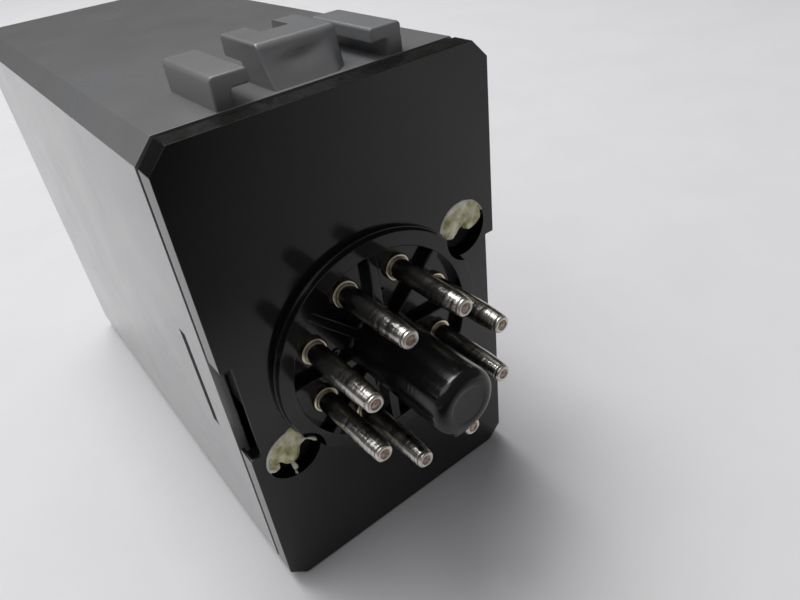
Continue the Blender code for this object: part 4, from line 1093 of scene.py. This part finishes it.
TRACES = {
    1: [[(14.4, 13.0), (17.5, 17.5), (22.0, 17.5)], [(32.0, 17.5), (38.0, 19.27), (65.6, 19.27)],
        [(14.4, 4.0), (22.0, 4.0), (40.0, 4.6), (51.4, 5.2)], [(14.4, -4.0), (19.0, -9.5), (23.0, -9.5)],
        [(23.0, -9.5), (28.0, -7.5), (34.0, -3.7), (45.2, -3.7)], [(14.4, -13.0), (20.0, -20.5), (28.0, -20.5)],
        [(38.0, -20.5), (42.0, -20.5), (45.2, -16.3)], [(60.4, -3.7), (60.4, 1.5), (56.2, 5.2)],
        [(60.4, -16.3), (66.0, -12.0), (66.0, 6.0), (60.0, 10.8), (56.2, 10.8)], [(51.4, 10.8), (55.0, 16.73), (65.6, 16.73)],
        [(22.0, 21.0), (20.0, 21.0), (17.0, 21.0)], [(32.0, 21.0), (36.0, 22.0), (66.0, 22.0)],
        [(26.0, 14.0), (22.0, 10.0), (18.0, 10.0)], [(36.0, 14.0), (46.0, 10.8), (51.4, 10.8)]],
    -1: [[(14.4, 13.0), (17.8, 11.0)], [(14.4, 4.0), (17.0, 5.5), (19.2, 8.0)], [(14.4, -4.0), (18.0, -3.0), (24.0, -3.0)],
         [(14.4, -13.0), (19.0, -19.0), (24.0, -19.0)], [(34.0, -3.0), (46.0, -3.0), (53.23, 3.5), (53.23, 7.19)],
         [(34.0, -7.0), (48.0, -7.0), (55.77, 1.0), (55.77, 7.19)], [(36.0, -11.0), (50.0, -11.0), (58.31, -2.0), (58.31, 7.19)],
         [(36.0, -15.0), (60.0, -15.0), (64.0, -10.0), (64.0, 12.0), (58.31, 14.81)], [(34.0, -19.0), (66.5, -19.0)],
         [(42.0, 7.0), (46.0, 7.19), (50.69, 7.19)], [(42.0, 15.0), (46.0, 14.81), (50.69, 14.81)],
         [(30.0, 18.2), (34.0, 20.5), (53.23, 20.5), (53.23, 14.81)], [(30.0, 3.8), (34.0, 1.0), (42.0, 1.0), (42.0, 7.0)],
         [(24.0, -7.0), (20.0, -9.0), (20.0, -13.0), (26.0, -15.0)], [(26.0, -11.0), (22.5, -11.0)]],
}
GROUNDS = {1: [(30.0, -17.5), (41.0, -17.5), (43.0, -14.0), (43.0, -8.0), (33.0, -8.0), (30.0, -11.0)],
           -1: [(40.0, -23.0), (66.5, -23.0), (66.5, -20.5), (40.0, -20.5)]}

piece(transformer_sheets(), "transformer_sheets", LOOKS["core"], "base", ["transformer_core"])
piece(transformer_coil(0.16, 2.6, 0.42, 5.55), "transformer_turns", LOOKS["enamel"], "base",
      ["transformer_winding"], 75.0)
piece(transformer_coil(0.02, 0.16, 4.35, 4.35), "transformer_tape", LOOKS["winding"], "base", sharp=75.0)
piece(relay_turns(), "relay_turns", LOOKS["enamel"], "base", ["relay_coil"], 75.0)
piece(chip_body(), "chip_body", LOOKS["moulding"], "base", ["comparator_chip"])
piece(chip_legs(), "chip_legs", LOOKS["tinned"], "base")
can_sleeve, can_stripe, can_lid = capacitor_can()
piece(can_sleeve, "capacitor_sleeve", LOOKS["sleeve"], "base", ["filter_capacitor"])
piece(can_stripe, "capacitor_stripe", LOOKS["label"], "base")
piece(can_lid, "capacitor_lid", LOOKS["zinc"], "base")
piece(bridge_body(), "bridge_body", LOOKS["moulding"], "base", ["bridge_rectifier"])
for number in range(1, 5):
    piece(board_screw(f"board_screw_{number}"), f"board_screw_{number}_pan", LOOKS["zinc"], "base",
          [f"board_screw_{number}"])

for side, board in ((1, "power_board"), (-1, "relay_board")):
    bodies, bands, leads = zip(*[resistor(side * BOARD_INSIDE, side, *place) for place in RESISTORS[side]])
    piece(merged(*bodies), f"{board}_resistors", LOOKS["resistor"], "base")
    piece(merged(*[band for group in bands for band in group]), f"{board}_bands", LOOKS["band"], "base")
    piece(merged(*[lead for group in leads for lead in group]), f"{board}_leads", LOOKS["tinned"], "base")
    ends = [(y + end * 5.0, z) for y, z in RESISTORS[side] for end in (-1, 1)]
    piece(merged(*[joint(side, y, z) for y, z in LEADS[side] + ends]), f"{board}_joints", LOOKS["tinned"], "base")
    traces = [flat_on_board(rounded_path(route, 1.6), side, 0.06) for route in TRACES[side]]
    pads = [flat_on_board(rounded_path([(y - 0.05, z), (y + 0.05, z)], 2.6), side, 0.08) for y, z in LEADS[side] + ends]
    ground = flat_on_board(round_corners(GROUNDS[side], 0.8), side, 0.05)
    piece(merged(*traces, *pads, ground), f"{board}_traces", LOOKS["trace"], "base")
    blobs = [turned_along([(0, 1.2), (0.5, 1.1), (0.8, 0.8), (1.0, 0.3), (1.15, 0.0), (0, -0.1)], 24,
                          (side * BOARD_INSIDE, WIRE_END, z), (-side, 0, 0)) for z in (13.0, 4.0, -4.0, -13.0)]
    piece(merged(*blobs), f"{board}_wire_ends", LOOKS["tinned"], "base")

lamp_low, lamp_high, lamp_middle = node_box("indicator_led")
lamp_legs = [
    strand([(lamp_middle.x, lamp_low.y + 0.3, lamp_middle.z + offset), (lamp_middle.x, lamp_low.y - 1.0, lamp_middle.z + offset),
            (lamp_middle.x + 0.8, 65.6, lamp_middle.z + offset), (BOARD_INSIDE, 65.6, lamp_middle.z + offset)], [0.25] * 4, 10, 0.0)
    for offset in (-1.27, 1.27)
]
piece(merged(*lamp_legs), "lamp_legs", LOOKS["tinned"], "base")

blade_low, blade_high, blade_middle = node_box("moving_contact")
DOME = [(0, 0.35), (0.35, 0.32), (0.7, 0.2), (0.9, 0.0), (0.9, -0.1), (0, -0.1)]
armature_top = node_box("armature")[1].x + 0.7
rivets = [turned_along(DOME, 28, (armature_top, y, blade_middle.z), (1, 0, 0)) for y in (26.4, 28.9)]
piece(merged(*rivets), "blade_rivets", LOOKS["tinned"], "armature")
over, under = node_box("break_contact"), node_box("make_contact")
faces = [turned_along(DOME, 28, (over[1].x, blade_low.y + 1.3, blade_middle.z), (1, 0, 0)),
         turned_along(DOME, 28, (under[1].x - 0.6, blade_low.y + 1.3, blade_middle.z), (-1, 0, 0))]
piece(merged(*faces), "fixed_contact_rivets", LOOKS["tinned"], "base")


# Stage: floor, lights and camera

def floor_look():
    look = Look("paper", Roughness=0.85)
    look.put("Base Color", look.ramp(look.grain(45.0, 5.0, 0.6), (0.3, (0.690, 0.682, 0.696)), (0.7, (0.718, 0.710, 0.724))))
    look.bump(look.grain(700.0, 3.0), 0.15, 0.0001)
    return look.material


def build_floor():
    bm = bmesh.new()
    bmesh.ops.create_grid(bm, x_segments=2, y_segments=2, size=2.0)
    mesh = bpy.data.meshes.new("floor")
    bm.to_mesh(mesh)
    bm.free()
    mesh.materials.append(floor_look())
    floor = bpy.data.objects.new("floor", mesh)
    floor.location = (0.0, 0.0, -0.0002)
    bpy.context.scene.collection.objects.link(floor)


def area_light(name, place, size, power, colour=(1.0, 1.0, 1.0)):
    """Soft lamp that points at the middle of the part."""
    lamp = bpy.data.lights.new(name, "AREA")
    lamp.shape = "RECTANGLE"
    lamp.size, lamp.size_y = size
    lamp.energy = power
    lamp.color = colour
    obj = bpy.data.objects.new(name, lamp)
    obj.location = place
    aim = Vector((0.0, 0.0, 0.03)) - Vector(place)
    obj.rotation_euler = aim.to_track_quat("-Z", "Y").to_euler()
    bpy.context.scene.collection.objects.link(obj)


def build_world():
    """Dim room: darkest beyond the far end of the part, paler behind the camera."""
    world = bpy.data.worlds.new("studio")
    bpy.context.scene.world = world
    world.use_nodes = True
    tree = world.node_tree
    towards = tree.nodes.new("ShaderNodeVectorMath")
    towards.operation = "DOT_PRODUCT"
    towards.inputs[1].default_value = (0.3, 0.95, 0.0)
    tree.links.new(tree.nodes.new("ShaderNodeTexCoord").outputs["Generated"], towards.inputs[0])
    ramp = tree.nodes.new("ShaderNodeValToRGB")
    ramp.color_ramp.interpolation = "EASE"
    ramp.color_ramp.elements[0].position = 0.0
    ramp.color_ramp.elements[0].color = (0.16, 0.16, 0.165, 1.0)
    ramp.color_ramp.elements[1].position = 0.7
    ramp.color_ramp.elements[1].color = (0.050, 0.048, 0.047, 1.0)
    tree.links.new(towards.outputs["Value"], ramp.inputs["Fac"])
    tree.links.new(ramp.outputs["Color"], tree.nodes["Background"].inputs["Color"])
    tree.nodes["Background"].inputs["Strength"].default_value = 1.0


def build_shade():
    """Painted shade: a dark sheet in front of the part, seen by reflections only, that darkens what the part reflects,
    in place of whoever holds the camera.
    """
    bm = bmesh.new()
    bmesh.ops.create_grid(bm, x_segments=2, y_segments=2, size=0.25)
    bmesh.ops.translate(bm, vec=(0.0, -0.31, 0.001), verts=bm.verts)
    mesh = bpy.data.meshes.new("shade")
    bm.to_mesh(mesh)
    bm.free()
    look = Look("shade", Roughness=0.9)
    place = look.tree.nodes.new("ShaderNodeSeparateXYZ")
    look.tree.links.new(look.place, place.inputs["Vector"])
    # Painted shade: the sheet's alpha fades it in towards the left and towards the front, where the part's reflections
    # should look darker.
    across = look.math("ADD", place.outputs["X"], look.math("MULTIPLY", place.outputs["Y"], 0.5))
    to_left = look.ramp(look.math("ADD", look.math("MULTIPLY", across, 5.0), 0.5), (0.16, 0.95), (0.66, 0.0))
    to_front = look.ramp(look.math("MULTIPLY", place.outputs["Y"], -5.0), (0.26, 0.0), (0.46, 1.0))
    look.put("Base Color", look.ramp(look.grain(30.0), (0.3, 0.02), (0.7, 0.04)))
    look.put("Alpha", look.math("MULTIPLY", to_left, to_front))
    mesh.materials.append(look.material)
    shade = bpy.data.objects.new("shade", mesh)
    bpy.context.scene.collection.objects.link(shade)
    shade.visible_camera = False
    shade.visible_diffuse = False
    shade.visible_transmission = False
    shade.visible_shadow = False


def build_camera():
    camera = bpy.data.cameras.new("camera")
    camera.sensor_width = 36.0
    camera.lens = 29.657
    camera.clip_start = 0.001
    obj = bpy.data.objects.new("camera", camera)
    right = Vector((0.78101, -0.61477, -0.10988))
    up = Vector((0.43017, 0.40202, 0.80829))
    back = Vector((-0.45274, -0.67855, 0.57844))
    turn = Matrix((right, up, back)).transposed().to_4x4()
    obj.matrix_world = Matrix.Translation(ORIGIN + Vector((-29.344, -49.069, 45.367)) * MM) @ turn
    bpy.context.scene.collection.objects.link(obj)
    bpy.context.scene.camera = obj


build_floor()
build_world()
area_light("lamp", (-0.05, 0.27, 0.83), (0.40, 0.40), 3.9, (1.0, 0.99, 0.98))
area_light("ceiling", (-0.20, 0.33, 0.90), (1.9, 0.9), 7.9, (0.98, 0.99, 1.0))
build_shade()
build_camera()
bpy.context.scene.view_settings.view_transform = "Standard"
